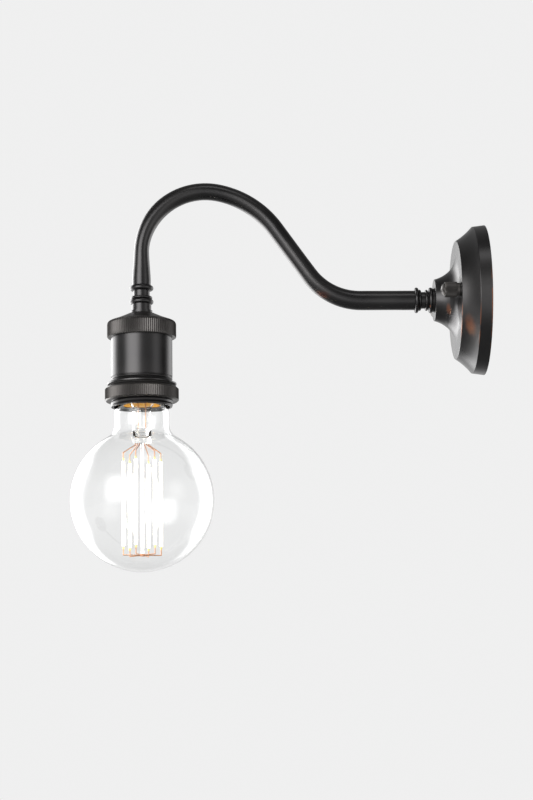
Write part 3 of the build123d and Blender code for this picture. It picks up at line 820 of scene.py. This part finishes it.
@dataclass(frozen=True)
class Softbox:
    """A soft rectangular light that faces the lamp's middle.

    Azimuth is counted from the camera's side, positive towards the wall.
    """

    name: str
    azimuth: float
    elevation: float
    width: float
    height: float
    radiance: float
    fade: float
    distance: float = 1.7

    def build(self, target: Vector) -> None:
        """Add the light, unseen by the camera itself.

        Args:
            target: The point that it faces.
        """
        around, above = math.radians(self.azimuth), math.radians(self.elevation)
        outward = Vector(
            (math.cos(around) * math.cos(above), math.sin(around) * math.cos(above), math.sin(above))
        )
        data = bpy.data.lights.new(self.name, "AREA")
        data.shape = "RECTANGLE"
        data.size = self.width
        data.size_y = self.height
        data.energy = self.radiance * math.pi * self.width * self.height
        light = bpy.data.objects.new(self.name, data)
        light.location = target + outward * self.distance
        light.rotation_mode = "QUATERNION"
        light.rotation_quaternion = outward.to_track_quat("Z", "Y")
        light.visible_camera = False
        self.soften(data)
        bpy.context.scene.collection.objects.link(light)

    def soften(self, data: bpy.types.AreaLight) -> None:
        """Let the light fade towards its four edges, as a lit cloth does.

        Args:
            data: The light's own data.
        """
        data.use_nodes = True
        graph = Graph(data.node_tree)
        place = graph.split(graph.node("ShaderNodeNewGeometry").outputs["Parametric"])
        strength: object = 1.0
        for side in ("X", "Y"):
            rise = graph.smooth(place[side], 0.0, self.fade)
            fall = graph.smooth(place[side], 1.0 - self.fade, 1.0, 1.0, 0.0)
            strength = graph.math("MULTIPLY", strength, graph.math("MULTIPLY", rise, fall))
        graph.fill(data.node_tree.nodes["Emission"], {"Strength": strength})


@dataclass
class Studio:
    """Pale surroundings, soft lights and a pale floor."""

    backdrop: Colour = (0.868, 0.868, 0.868, 1)
    dim: Colour = (0.42, 0.42, 0.42, 1)
    fill: float = 0.5
    behind: tuple[float, float] = (-0.55, 0.1)
    ceiling: float = 0.3
    ceiling_rise: tuple[float, float] = (0.1, 0.55)
    floor_drop: float = 1.2
    floor_reach: float = 9.0
    floor_rough: float = 0.9
    floor_glow: float = 0.35
    floor_near: float = 0.28
    floor_far: float = 1.0
    floor_spread: tuple[float, float] = (0.6, 3.2)
    target: Vector = field(default_factory=lambda: Vector((0.0, -0.16, -0.05)))
    softboxes: tuple[Softbox, ...] = (
        Softbox("front_left_softbox", -36, 10, 2.2, 1.7, 4.3, 0.35),
        Softbox("back_left_softbox", -137, 2, 2.1, 2.6, 4.3, 0.25),
        Softbox("back_right_softbox", 130, 0, 1.4, 2.4, 1.6, 0.35),
        Softbox("front_right_softbox", 54, 8, 1.4, 1.4, 0.9, 0.45),
        Softbox("overhead_softbox", 10, 62, 1.4, 0.9, 1.8, 0.45),
    )

    def world(self) -> None:
        """Light the scene: pale behind the lamp, dim on the camera's side for gloss."""
        world = bpy.data.worlds.new("studio")
        bpy.context.scene.world = world
        world.use_nodes = True
        graph = Graph(world.node_tree)
        world.node_tree.nodes.clear()
        towards = graph.split(graph.node("ShaderNodeTexCoord").outputs["Generated"])
        behind = graph.smooth(towards["X"], *self.behind, 1.0, 0.0)
        low_down = graph.smooth(towards["Z"], *self.ceiling_rise, 1.0, self.ceiling)
        shown, glossy = graph.rays()
        seen, gloss, light = (graph.node("ShaderNodeBackground") for _ in range(3))
        graph.fill(seen, {"Color": self.backdrop})
        gloss_colour = graph.blend(behind, self.dim, self.backdrop)
        graph.fill(gloss, {"Color": gloss_colour, "Strength": low_down})
        graph.fill(light, {"Strength": self.fill})
        both = graph.either(shown, graph.either(glossy, light, gloss), seen)
        graph.fill(graph.node("ShaderNodeOutputWorld"), {0: both.outputs[0]})

    def floor(self) -> None:
        """Lay the pale floor, far below the camera's view."""
        select_none()
        bpy.ops.mesh.primitive_plane_add(size=2 * self.floor_reach, location=(0, 0, -self.floor_drop))
        floor = bpy.context.active_object
        floor.name = "floor"
        material, graph, shader = graph_of("pale_floor")
        shown, glossy = graph.rays()
        values = {
            "Base Color": self.backdrop,
            "Roughness": self.floor_rough,
            "Emission Color": self.backdrop,
            "Emission Strength": graph.math("MULTIPLY", shown, self.floor_glow),
        }
        graph.fill(shader, values)
        away = graph.length(graph.place())
        strength = graph.smooth(away, *self.floor_spread, self.floor_near, self.floor_far)
        gloss = graph.node("ShaderNodeEmission")
        graph.fill(gloss, {"Color": self.backdrop, "Strength": strength})
        both = graph.either(glossy, shader, gloss)
        graph.fill(material.node_tree.nodes["Material Output"], {"Surface": both.outputs[0]})
        floor.data.materials.append(material)

    def build(self) -> None:
        """Set up camera, lights, world and floor."""
        PhotoCamera().build()
        for softbox in self.softboxes:
            softbox.build(self.target)
        self.world()
        self.floor()
        bpy.context.scene.view_settings.view_transform = "Standard"
        LOG.info("studio: %d softboxes", len(self.softboxes))


# ---------------------------------------------------------------- finishes in use
@dataclass
class Palette:
    """Every finish of the lamp, each built once."""

    built: dict[str, Material] = field(default_factory=dict)

    canopy = BronzeFinish(
        name="canopy_bronze",
        wear=(
            WornSpot((0.0362, -0.0142, -0.0250), (0.0064, 0.0052, 0.0120), 0.5),
            WornSpot((0.0150, -0.0253, -0.0092), (0.0036, 0.0022, 0.0062), 0.5),
            WornSpot((-0.0290, -0.0150, -0.0300), (0.0060, 0.0045, 0.0090), 0.45),
            WornEdge(0.03950, 0.01885, 0.0005, 0.6),
            WornEdge(0.04910, 0.00790, 0.0005, 0.6, -0.024),
            WornEdge(0.05020, 0.00040, 0.0006, 0.6, -0.012, 0.034),
        ),
    )
    arm = BronzeFinish(
        name="arm_bronze",
        copper=(0.16, 0.055, 0.04, 1),
        wear=(WornSpot((0.0040, -0.1095, 0.0030), (0.0040, 0.0090, 0.0042), 0.6),),
    )
    coupling = BronzeFinish(
        name="coupling_bronze",
        wear=(
            WornSpot((0.0062, -0.0441, -0.0052), (0.0014, 0.0010, 0.0016), 0.6),
            WornSpot((0.0062, -0.0368, -0.0050), (0.0014, 0.0010, 0.0016), 0.6),
        ),
    )
    plain_bronze = BronzeFinish()
    knurled = BronzeFinish(
        name="knurled_bronze",
        dark=(0.072, 0.068, 0.066, 1),
        light=(0.098, 0.092, 0.088, 1),
        smoothest=0.34,
        roughest=0.42,
    )
    zinc = PlatedFinish("zinc_steel", (0.66, 0.66, 0.63, 1), (0.52, 0.53, 0.52, 1))
    green = PlatedFinish("green_screw", (0.06, 0.36, 0.14, 1), (0.04, 0.26, 0.10, 1))
    brass = PlatedFinish("brass", (0.83, 0.60, 0.26, 1), (0.70, 0.48, 0.19, 1))
    base_brass = PlatedFinish("base_brass", (0.90, 0.58, 0.20, 1), (0.78, 0.46, 0.14, 1), 0.25, 0.4)
    copper = PlatedFinish("copper_wire", (0.78, 0.42, 0.24, 1), (0.60, 0.30, 0.17, 1))
    cap_yellow = PlatedFinish("filament_cap", (0.96, 0.88, 0.36, 1), (0.90, 0.80, 0.28, 1), 0.35, 0.5)
    # amber basing cement inside the bulb's collar; its glow is painted light, standing in for the lit
    # filaments shining on the base
    cement_and_painted_glow = PlatedFinish(
        "amber_cement_and_painted_glow", (0.95, 0.50, 0.10, 1), (0.85, 0.38, 0.05, 1), 0.5, 0.65, 300.0, glow=0.7
    )
    porcelain = MouldedFinish(
        "porcelain", (0.86, 0.85, 0.81, 1), (0.80, 0.78, 0.73, 1), 0.25, 60.0, 0.00003, coat=0.6
    )
    black_glass = MouldedFinish("black_glass", (0.012, 0.012, 0.016, 1), (0.02, 0.02, 0.026, 1), 0.12)
    board = MouldedFinish("circuit_board", (0.05, 0.20, 0.09, 1), (0.04, 0.16, 0.07, 1), 0.35)
    capacitor = MouldedFinish("capacitor", (0.03, 0.03, 0.035, 1), (0.05, 0.05, 0.055, 1), 0.4)
    white_lead = MouldedFinish("white_lead", (0.82, 0.82, 0.79, 1), (0.76, 0.76, 0.72, 1))
    black_lead = MouldedFinish("black_lead", (0.018, 0.018, 0.018, 1), (0.03, 0.03, 0.03, 1))
    fibre = MouldedFinish(
        "fibre", (0.018, 0.017, 0.016, 1), (0.028, 0.026, 0.024, 1), 0.75, 420.0, 0.0001
    )
    glass = GlassFinish()
    phosphor = PhosphorFinish()

    def material(self, finish: object) -> Material:
        """The material of a finish, made on first use."""
        if finish.name not in self.built:
            self.built[finish.name] = finish.build()
        return self.built[finish.name]


@dataclass
class Assembly:
    """What every sub-assembly shares: dressing CAD nodes and placing modelled pieces."""

    palette: Palette

    def dress(self, finish: object, *nodes: str) -> None:
        """Give CAD nodes their finish.

        Args:
            finish: The finish.
            *nodes: The nodes' names.
        """
        for node in nodes:
            item = frame["nodes"][node]
            item.data.materials.clear()
            item.data.materials.append(self.palette.material(finish))
            LOG.info("node %s: %s", node, finish.name)

    def fit(self, piece: Piece, finish: object, body: Body, slot: Slot, node: str) -> None:
        """Finish a modelled piece and set it in the place of its CAD node.

        Args:
            piece: The modelled piece, in its place.
            finish: Its finish.
            body: The body it rides on.
            slot: The record's material slot; not used.
            node: The CAD node it stands for.
        """
        piece.data.materials.clear()
        piece.data.materials.append(self.palette.material(finish))
        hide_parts(node)
        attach(piece, body.value)
        LOG.info("piece %s: %d faces, rides on %s", piece.name, len(piece.data.polygons), body.value)


def middle(node: str) -> Vector:
    """The middle of a CAD node's box."""
    low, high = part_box(node)
    return (low + high) / 2


def half_width(node: str) -> float:
    """Half of a CAD node's extent along X."""
    low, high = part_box(node)
    return (high.x - low.x) / 2


def onto_wall_axis(piece: Piece, across: float) -> None:
    """Turn a lathe piece so that its height becomes the distance off the wall.

    Args:
        piece: The piece, on the Z axis.
        across: Where its axis stands along X.
    """
    piece.rotation_euler = (math.radians(90), 0, 0)
    piece.location = (across, 0, 0)
    apply_place(piece)


def onto_upright_axis(piece: Piece, node: str) -> None:
    """Move a lathe piece from the Z axis to a CAD node's upright axis."""
    piece.location = (0, middle(node).y, 0)
    apply_place(piece)


# ---------------------------------------------------------------- wall end
@dataclass
class ThumbNut:
    """A knurled thumb nut with a smooth collar and a domed end."""

    ridges: int = 34
    ridge_depth: float = 0.32 * MM
    ridge_rows: tuple[float, ...] = (0.25, 0.5, 0.75)
    collar_radius: float = 4.5 * MM
    collar_length: float = 2.2 * MM
    body_radius: float = 5.15 * MM
    body_length: float = 8.1 * MM
    dome_length: float = 2.5 * MM
    dome_radius: float = 4.55 * MM
    dome_steps: int = 9
    bore_radius: float = 2.13 * MM
    bore_depth: float = 8.0 * MM
    edge: float = 0.35 * MM
    pin: float = 0.05 * MM

    def turn(self, name: str, base: float) -> Piece:
        """Model the nut on the Z axis, with its seat at a height.

        Args:
            name: The piece's name.
            base: The seat's distance off the wall.

        Returns:
            The nut, closed.
        """
        collar_top = base + self.collar_length
        body_top = collar_top + self.body_length
        crown = body_top + self.dome_length
        profile = Profile().to(
            (self.pin, base + self.bore_depth),
            (self.bore_radius, base + self.bore_depth),
            (self.bore_radius, base),
            (self.collar_radius - self.edge, base),
            (self.collar_radius, base + self.edge),
            (self.collar_radius, collar_top - HAIR),
            (self.body_radius - self.edge, collar_top),
            (self.body_radius, collar_top + self.edge),
            *((self.body_radius, collar_top + self.body_length * row) for row in self.ridge_rows),
            (self.body_radius, body_top - self.edge),
            (self.body_radius - self.edge, body_top),
            (self.dome_radius, body_top + HAIR / 2),
        )
        swing = (self.dome_radius**2 + self.dome_length**2) / (2 * self.dome_length)
        start = math.degrees(math.acos(self.dome_radius / swing))
        for step in range(1, self.dome_steps):
            angle = math.radians(start + (90 - start) * step / self.dome_steps)
            profile.to((swing * math.cos(angle), crown - swing + swing * math.sin(angle)))
        profile.to((self.pin, crown))
        lathe = Lathe(RIDGE_VERTICES * self.ridges)
        nut = lathe.turn(name, profile, End.POINT, disc_start=True)
        low, high = collar_top + 2 * HAIR, body_top - 2 * HAIR
        lathe.knurl(nut, low, high, self.collar_radius, self.ridge_depth)
        smooth(nut, 24)
        return nut


@dataclass
class WallEnd(Assembly):
    """Canopy, crossbar, studs, thumb nuts and the clamp in the canopy's neck."""

    nut: ThumbNut = field(default_factory=ThumbNut)
    stud_pitch: float = 0.794 * MM
    thread_depth: float = 0.28 * MM

    def thumb_nuts(self) -> None:
        """Model both thumb nuts where their CAD nodes stand."""
        for side, body in (("left", Body.LEFT_NUT), ("right", Body.RIGHT_NUT)):
            node = f"thumb_nut_{side}"
            nut = self.nut.turn(f"{side}_thumb_nut", -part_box(node)[1].y)
            onto_wall_axis(nut, middle(node).x)
            self.fit(nut, Palette.knurled, body, Slot.KNURLED_BRONZE, node)

    def studs(self) -> None:
        """Cut the two canopy studs with their real thread."""
        low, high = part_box("canopy_studs")
        radius = (high.z - low.z) / 2
        across = high.x - radius
        thread = Thread(self.stud_pitch, radius - self.thread_depth, radius, steps=20, flanks=4)
        first = thread.rod("first_stud", -high.y, -low.y)
        onto_wall_axis(first, across)
        second = copy_of(first, (-2 * across, 0, 0))
        studs = join([first, second], "threaded_studs")
        smooth(studs, 50)
        self.fit(studs, Palette.zinc, Body.FIXTURE, Slot.ZINC_STEEL, "canopy_studs")

    def build(self) -> None:
        """Dress and model the wall end."""
        self.dress(Palette.zinc, "box_strap", "stud_strap", "strap_eyelet", "stud_jam_nuts")
        self.dress(Palette.zinc, "canopy_locknut", "canopy_lock_washer", "canopy_nipple")
        self.dress(Palette.green, "ground_screw")
        self.dress(Palette.canopy, "canopy")
        self.dress(Palette.plain_bronze, "thumb_washer_left", "thumb_washer_right")
        self.thumb_nuts()
        self.studs()


# ---------------------------------------------------------------- arm
@dataclass
class GooseneckArm(Assembly):
    """The bent tube, the turned couplings at its ends and the leads inside."""

    def build(self) -> None:
        """Dress the arm."""
        self.dress(Palette.arm, "arm_tube")
        self.dress(Palette.coupling, "canopy_coupling")
        self.dress(Palette.plain_bronze, "socket_coupling")
        self.dress(Palette.white_lead, "neutral_lead")
        self.dress(Palette.black_lead, "line_lead")


# ---------------------------------------------------------------- lampholder
@dataclass
class LampHolder(Assembly):
    """Knurled cap, shell with its threaded skirt, shade ring and the porcelain core."""

    ridge_depth: float = 0.42 * MM
    cap_ridges: int = 102
    cap_flat_radius: float = 8.0 * MM
    cap_step_radius: float = 15.5 * MM
    cap_step_drop: float = 3.4 * MM
    cap_cone_drop: float = 6.2 * MM
    cap_shoulder_round: float = 2.4 * MM
    cap_knurl_start: float = 0.75
    cap_knurl_inset: float = 0.9 * MM
    cap_rows: tuple[float, ...] = (0.3, 0.6, 1.0)
    cap_edge: float = 0.5 * MM
    cap_edge_break: float = 0.15 * MM
    cap_wall: float = 2.0 * MM
    cap_bore_drop: float = 6.5 * MM
    pad_radius: float = 8.5 * MM
    nipple_hole: float = 5.15 * MM
    ring_ridges: int = 118
    ring_top_inset: float = 2.4 * MM
    ring_edge_inset: float = 2.1 * MM
    ring_edge_drop: float = 0.12 * MM
    ring_chamfer: float = 2.2 * MM
    ring_low_chamfer: float = 0.8 * MM
    ring_bore_chamfer: float = 0.4 * MM
    ring_rows: tuple[float, ...] = (0.02, 0.33, 0.66, 0.98, 1.0)
    shell_radius: float = 20.4 * MM
    shell_bore: float = 17.9 * MM
    shell_gap: float = 0.05 * MM
    shell_rim: float = 1.0 * MM
    shell_segments: int = 192
    waist_radius: float = 19.9 * MM
    groove_width: float = 0.7 * MM
    bead_half: float = 0.6 * MM
    bead_swing: float = 80.0
    flare_round: float = 5.0 * MM
    lip_drop: float = 5.3 * MM
    lip_thickness: float = 1.0 * MM
    skirt_radius: float = 20.0 * MM
    skirt_length: float = 14.9 * MM
    skirt_bore: float = 18.7 * MM
    skirt_bore_depth: float = 6.0 * MM
    skirt_pitch: float = 2.5 * MM
    skirt_thread_depth: float = 0.55 * MM
    skirt_thread_wall: float = 0.5 * MM

    def cap(self) -> None:
        """Turn and knurl the socket cap."""
        low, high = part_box("socket_cap")
        radius = half_width("socket_cap")
        bottom, top = low.z, high.z
        slope = math.atan2(self.cap_cone_drop - self.cap_step_drop, radius - self.cap_step_radius)
        swing = self.cap_shoulder_round
        centre = top - self.cap_cone_drop + swing * (math.tan(slope) - 1 / math.cos(slope))
        profile = Profile().to(
            (self.nipple_hole, top),
            (self.cap_flat_radius, top),
            (self.cap_step_radius, top - self.cap_step_drop),
        )
        profile.arc(radius - swing, centre, swing, 90 - math.degrees(slope), 0)
        drop = bottom + self.cap_edge - centre
        profile.to(*((radius, centre + drop * row) for row in self.cap_rows))
        bore = self.shell_radius + self.shell_gap
        profile.to(
            (radius - self.cap_edge_break, bottom + self.cap_edge_break),
            (radius - self.cap_edge, bottom),
            (bore, bottom),
            (bore, top - self.cap_bore_drop),
            (self.pad_radius, top - self.cap_wall),
            (self.nipple_hole, top - self.cap_wall),
            (self.nipple_hole, top),
        )
        lathe = Lathe(RIDGE_VERTICES * self.cap_ridges)
        cap = lathe.turn("knurled_cap", profile)
        band_top = centre + swing * self.cap_knurl_start
        least_radius = radius - self.cap_knurl_inset
        lathe.knurl(cap, bottom + HAIR, band_top, least_radius, self.ridge_depth)
        smooth(cap, 30)
        onto_upright_axis(cap, "socket_shell")
        self.fit(cap, Palette.knurled, Body.FIXTURE, Slot.KNURLED_BRONZE, "socket_cap")

    def ring(self) -> None:
        """Turn and knurl the shade ring."""
        low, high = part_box("shade_ring")
        radius = half_width("shade_ring")
        bottom, top = low.z, high.z
        bore = self.skirt_radius + self.shell_gap
        band_top, band_low = top - self.ring_chamfer, bottom + self.ring_low_chamfer
        profile = Profile().to(
            (bore, top),
            (radius - self.ring_top_inset, top),
            (radius - self.ring_edge_inset, top - self.ring_edge_drop),
            (radius - HAIR, band_top + self.ring_edge_drop),
            (radius, band_top),
            *((radius, band_top + (band_low - band_top) * row) for row in self.ring_rows),
            (radius - self.ring_low_chamfer, bottom),
            (bore + self.ring_bore_chamfer, bottom),
            (bore, bottom + self.ring_bore_chamfer),
            (bore, top),
        )
        lathe = Lathe(RIDGE_VERTICES * self.ring_ridges)
        ring = lathe.turn("knurled_shade_ring", profile)
        low_end, high_end = band_low + HAIR / 2, band_top - HAIR / 2
        lathe.knurl(ring, low_end, high_end, radius - HAIR, self.ridge_depth)
        smooth(ring, 30)
        onto_upright_axis(ring, "socket_shell")
        self.fit(ring, Palette.knurled, Body.SHADE_RING, Slot.KNURLED_BRONZE, "shade_ring")

    def shell(self) -> None:
        """Turn the shell with its bead and flared lip, and cut the thread on its skirt."""
        low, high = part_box("socket_shell")
        bottom, top = low.z, high.z
        core_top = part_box("porcelain_core")[1].z
        lip = half_width("socket_shell")
        lip_bottom = bottom + self.skirt_length
        groove_top = lip_bottom + self.lip_drop
        bead_height = groove_top - self.groove_width - self.bead_half
        profile = Profile().to(
            (self.shell_bore - self.shell_rim, top),
            (self.shell_radius, top),
            (self.shell_radius, groove_top),
            (self.waist_radius, groove_top - HAIR),
            (self.waist_radius, bead_height + self.bead_half),
        )
        bead_middle = self.shell_radius - self.bead_half
        profile.arc(bead_middle, bead_height, self.bead_half, self.bead_swing, -self.bead_swing)
        start = Vector((self.waist_radius, bead_height - self.bead_half))
        end = Vector((lip, lip_bottom + self.lip_thickness))
        chord = end - start
        reach = math.sqrt(self.flare_round**2 - (chord.length / 2) ** 2)
        centre = (start + end) / 2 + Vector((-chord.y, chord.x)).normalized() * reach
        angles = [math.degrees(math.atan2(p.y - centre.y, p.x - centre.x)) + 360 for p in (start, end)]
        profile.arc(centre.x, centre.y, self.flare_round, *angles)
        root = self.skirt_radius - self.skirt_thread_depth
        profile.to(
            (lip, lip_bottom + 2 * HAIR),
            (lip - 2 * HAIR, lip_bottom),
            (root - HAIR, lip_bottom),
            (root - HAIR, bottom),
            (self.skirt_bore, bottom),
            (self.skirt_bore, bottom + self.skirt_bore_depth),
            (self.shell_bore, bottom + self.skirt_bore_depth),
            (self.shell_bore, core_top),
            (self.shell_bore - self.shell_rim, core_top),
            (self.shell_bore - self.shell_rim, top),
        )
        shell = Lathe(self.shell_segments).turn("lampholder_shell", profile)
        thread = Thread(self.skirt_pitch, root, self.skirt_radius)
        skirt = thread.sleeve("skirt_thread", bottom, lip_bottom)
        thicken(skirt, self.skirt_thread_wall)
        shell = join([shell, skirt], "threaded_shell")
        smooth(shell, 30)
        onto_upright_axis(shell, "socket_shell")
        self.fit(shell, Palette.plain_bronze, Body.FIXTURE, Slot.DARK_BRONZE, "socket_shell")

    def build(self) -> None:
        """Dress and model the lampholder."""
        self.cap()
        self.ring()
        self.shell()
        self.dress(Palette.fibre, "shade_washer")
        self.dress(Palette.porcelain, "porcelain_core")
        self.dress(Palette.zinc, "socket_nipple", "socket_lock_washer", "socket_locknut")
        self.dress(Palette.zinc, "core_clip", "terminal_screws")
        self.dress(Palette.brass, "centre_contact", "contact_rivets", "screw_shell")
        self.dress(Palette.brass, "line_terminal", "neutral_terminal")


# ---------------------------------------------------------------- bulb
@dataclass
class GlobeBulb(Assembly):
    """Clear globe bulb with six lit filaments on a glass stem."""

    segments: int = 160
    wall: float = 0.8 * MM
    neck_radius: float = 18.25 * MM
    neck_blend: float = 10.0 * MM
    neck_blend_steps: int = 10
    neck_top_radius: float = 12.7 * MM
    shoulder_height: float = 6.0 * MM
    shoulder_steps: int = 6
    globe_steps: int = 64
    globe_end: float = -89.0
    base_wall: float = 0.3 * MM
    collar_height: float = 6.2 * MM
    collar_edge: float = 0.3 * MM
    collar_step: float = 0.4 * MM
    collar_tuck: float = 0.6
    base_neck_height: float = 2.4 * MM
    base_neck_edge: float = 0.5 * MM
    base_neck_tuck: float = 0.5
    base_rim_radius: float = 11.2 * MM
    thread_pitch: float = 3.629 * MM
    thread_depth: float = 0.85 * MM

    def glass(self) -> None:
        """Turn the glass envelope, with a real wall."""
        low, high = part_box("bulb_glass")
        globe = half_width("bulb_glass")
        centre = low.z + globe
        base_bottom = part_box("bulb_screw_base")[0].z
        blend_centre = self.neck_radius + self.neck_blend
        rise = math.sqrt((globe + self.neck_blend) ** 2 - blend_centre**2)
        turn = math.degrees(math.atan2(rise, blend_centre))
        profile = Profile().to((self.neck_top_radius, high.z), (self.neck_top_radius, base_bottom))
        shoulder = self.neck_radius - self.neck_top_radius
        for step in range(1, self.shoulder_steps + 1):
            angle = math.radians(90 * step / self.shoulder_steps)
            radius = self.neck_top_radius + shoulder * math.sin(angle)
            profile.to((radius, base_bottom - self.shoulder_height * (1 - math.cos(angle))))
        profile.to((self.neck_radius, centre + rise))
        steps = self.neck_blend_steps
        profile.arc(blend_centre, centre + rise, self.neck_blend, 180, 180 + turn, steps)
        profile.arc(0, centre, globe, turn, self.globe_end, self.globe_steps)
        glass = Lathe(self.segments).turn("glass_globe", profile, End.POINT)
        thicken(glass, self.wall)
        smooth(glass, 60)
        onto_upright_axis(glass, "bulb_glass")
        self.fit(glass, Palette.glass, Body.BULB, Slot.CLEAR_GLASS, "bulb_glass")

    def collar(self, bottom: float, top: float, radius: float) -> Piece:
        """Turn the base's plain collar, tucked in under the thread.

        Args:
            bottom: Its lowest height.
            top: Its highest height.
            radius: Its outer radius.

        Returns:
            The piece, on the Z axis.
        """
        bore = radius - self.base_wall
        tuck = self.thread_depth * self.collar_tuck
        profile = Profile().to(
            (bore, bottom),
            (radius - HAIR, bottom),
            (radius, bottom + self.collar_edge),
            (radius, top - self.collar_step),
            (radius - tuck, top),
            (bore - tuck, top),
            (bore, top - self.collar_step),
            (bore, bottom),
        )
        return Lathe(self.segments).turn("base_collar", profile)

    def neck(self, bottom: float, top: float, radius: float) -> Piece:
        """Turn the base's rolled end above the thread.

        Args:
            bottom: Its lowest height.
            top: Its highest height.
            radius: Its outer radius.

        Returns:
            The piece, on the Z axis.
        """
        bore = radius - self.base_wall
        profile = Profile().to(
            (bore, bottom),
            (radius, bottom),
            (radius - HAIR, top - self.base_neck_edge),
            (radius - self.base_neck_edge, top),
            (self.base_rim_radius, top),
            (self.base_rim_radius, top - self.base_wall),
            (bore - self.base_wall, top - self.base_wall),
            (bore, bottom),
        )
        return Lathe(self.segments).turn("base_neck", profile)

    def base(self) -> None:
        """Form the brass screw base, with amber cement round the glass inside its collar, made to glow
        as painted light from the lit filaments.
        """
        low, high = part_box("bulb_screw_base")
        radius = half_width("bulb_screw_base")
        collar_top = low.z + self.collar_height
        neck_low = high.z - self.base_neck_height
        root = radius - self.thread_depth
        thread = Thread(self.thread_pitch, root, radius, flanks=8, rounded=True, phase_at=low.z)
        collar = self.collar(low.z, collar_top, radius)
        sleeve = thread.sleeve("base_thread", collar_top - HAIR, neck_low + HAIR)
        thicken(sleeve, self.base_wall)
        neck = self.neck(neck_low, high.z, radius - self.thread_depth * self.base_neck_tuck)
        base = join([collar, sleeve, neck], "screw_base")
        smooth(base, 40)
        onto_upright_axis(base, "bulb_glass")
        self.fit(base, Palette.base_brass, Body.BULB, Slot.NICKEL_BASE, "bulb_screw_base")
        # the collar's inner faces take the amber cement, whose glow is painted light from the lit
        # filaments
        base.data.materials.append(self.palette.material(Palette.cement_and_painted_glow))
        axis_y = middle("bulb_glass").y
        mesh = start_editing(base)
        for face in mesh.faces:
            centre = face.calc_center_median()
            outwards = Vector((centre.x, centre.y - axis_y, 0)).dot(face.normal)
            face.material_index = 1 if outwards < 0 and centre.z < collar_top else 0
        bmesh.update_edit_mesh(base.data)
        stop_editing()

    def build(self) -> None:
        """Dress and model the bulb."""
        self.glass()
        self.base()
        self.dress(Palette.black_glass, "bulb_insulator")
        self.dress(Palette.brass, "bulb_tip_contact")
        self.dress(Palette.glass, "glass_stem", "centre_post")
        self.dress(Palette.phosphor, "led_filaments")
        self.dress(Palette.cap_yellow, "filament_caps")
        self.dress(Palette.copper, "upper_wires", "lower_spider", "bulb_wires")
        self.dress(Palette.board, "driver_board")
        self.dress(Palette.capacitor, "driver_parts")


def main() -> None:
    """Build the studio and the lamp."""
    palette = Palette()
    Studio().build()
    for assembly in (WallEnd, GooseneckArm, LampHolder, GlobeBulb):
        assembly(palette).build()


if __name__ == "__main__":
    main()
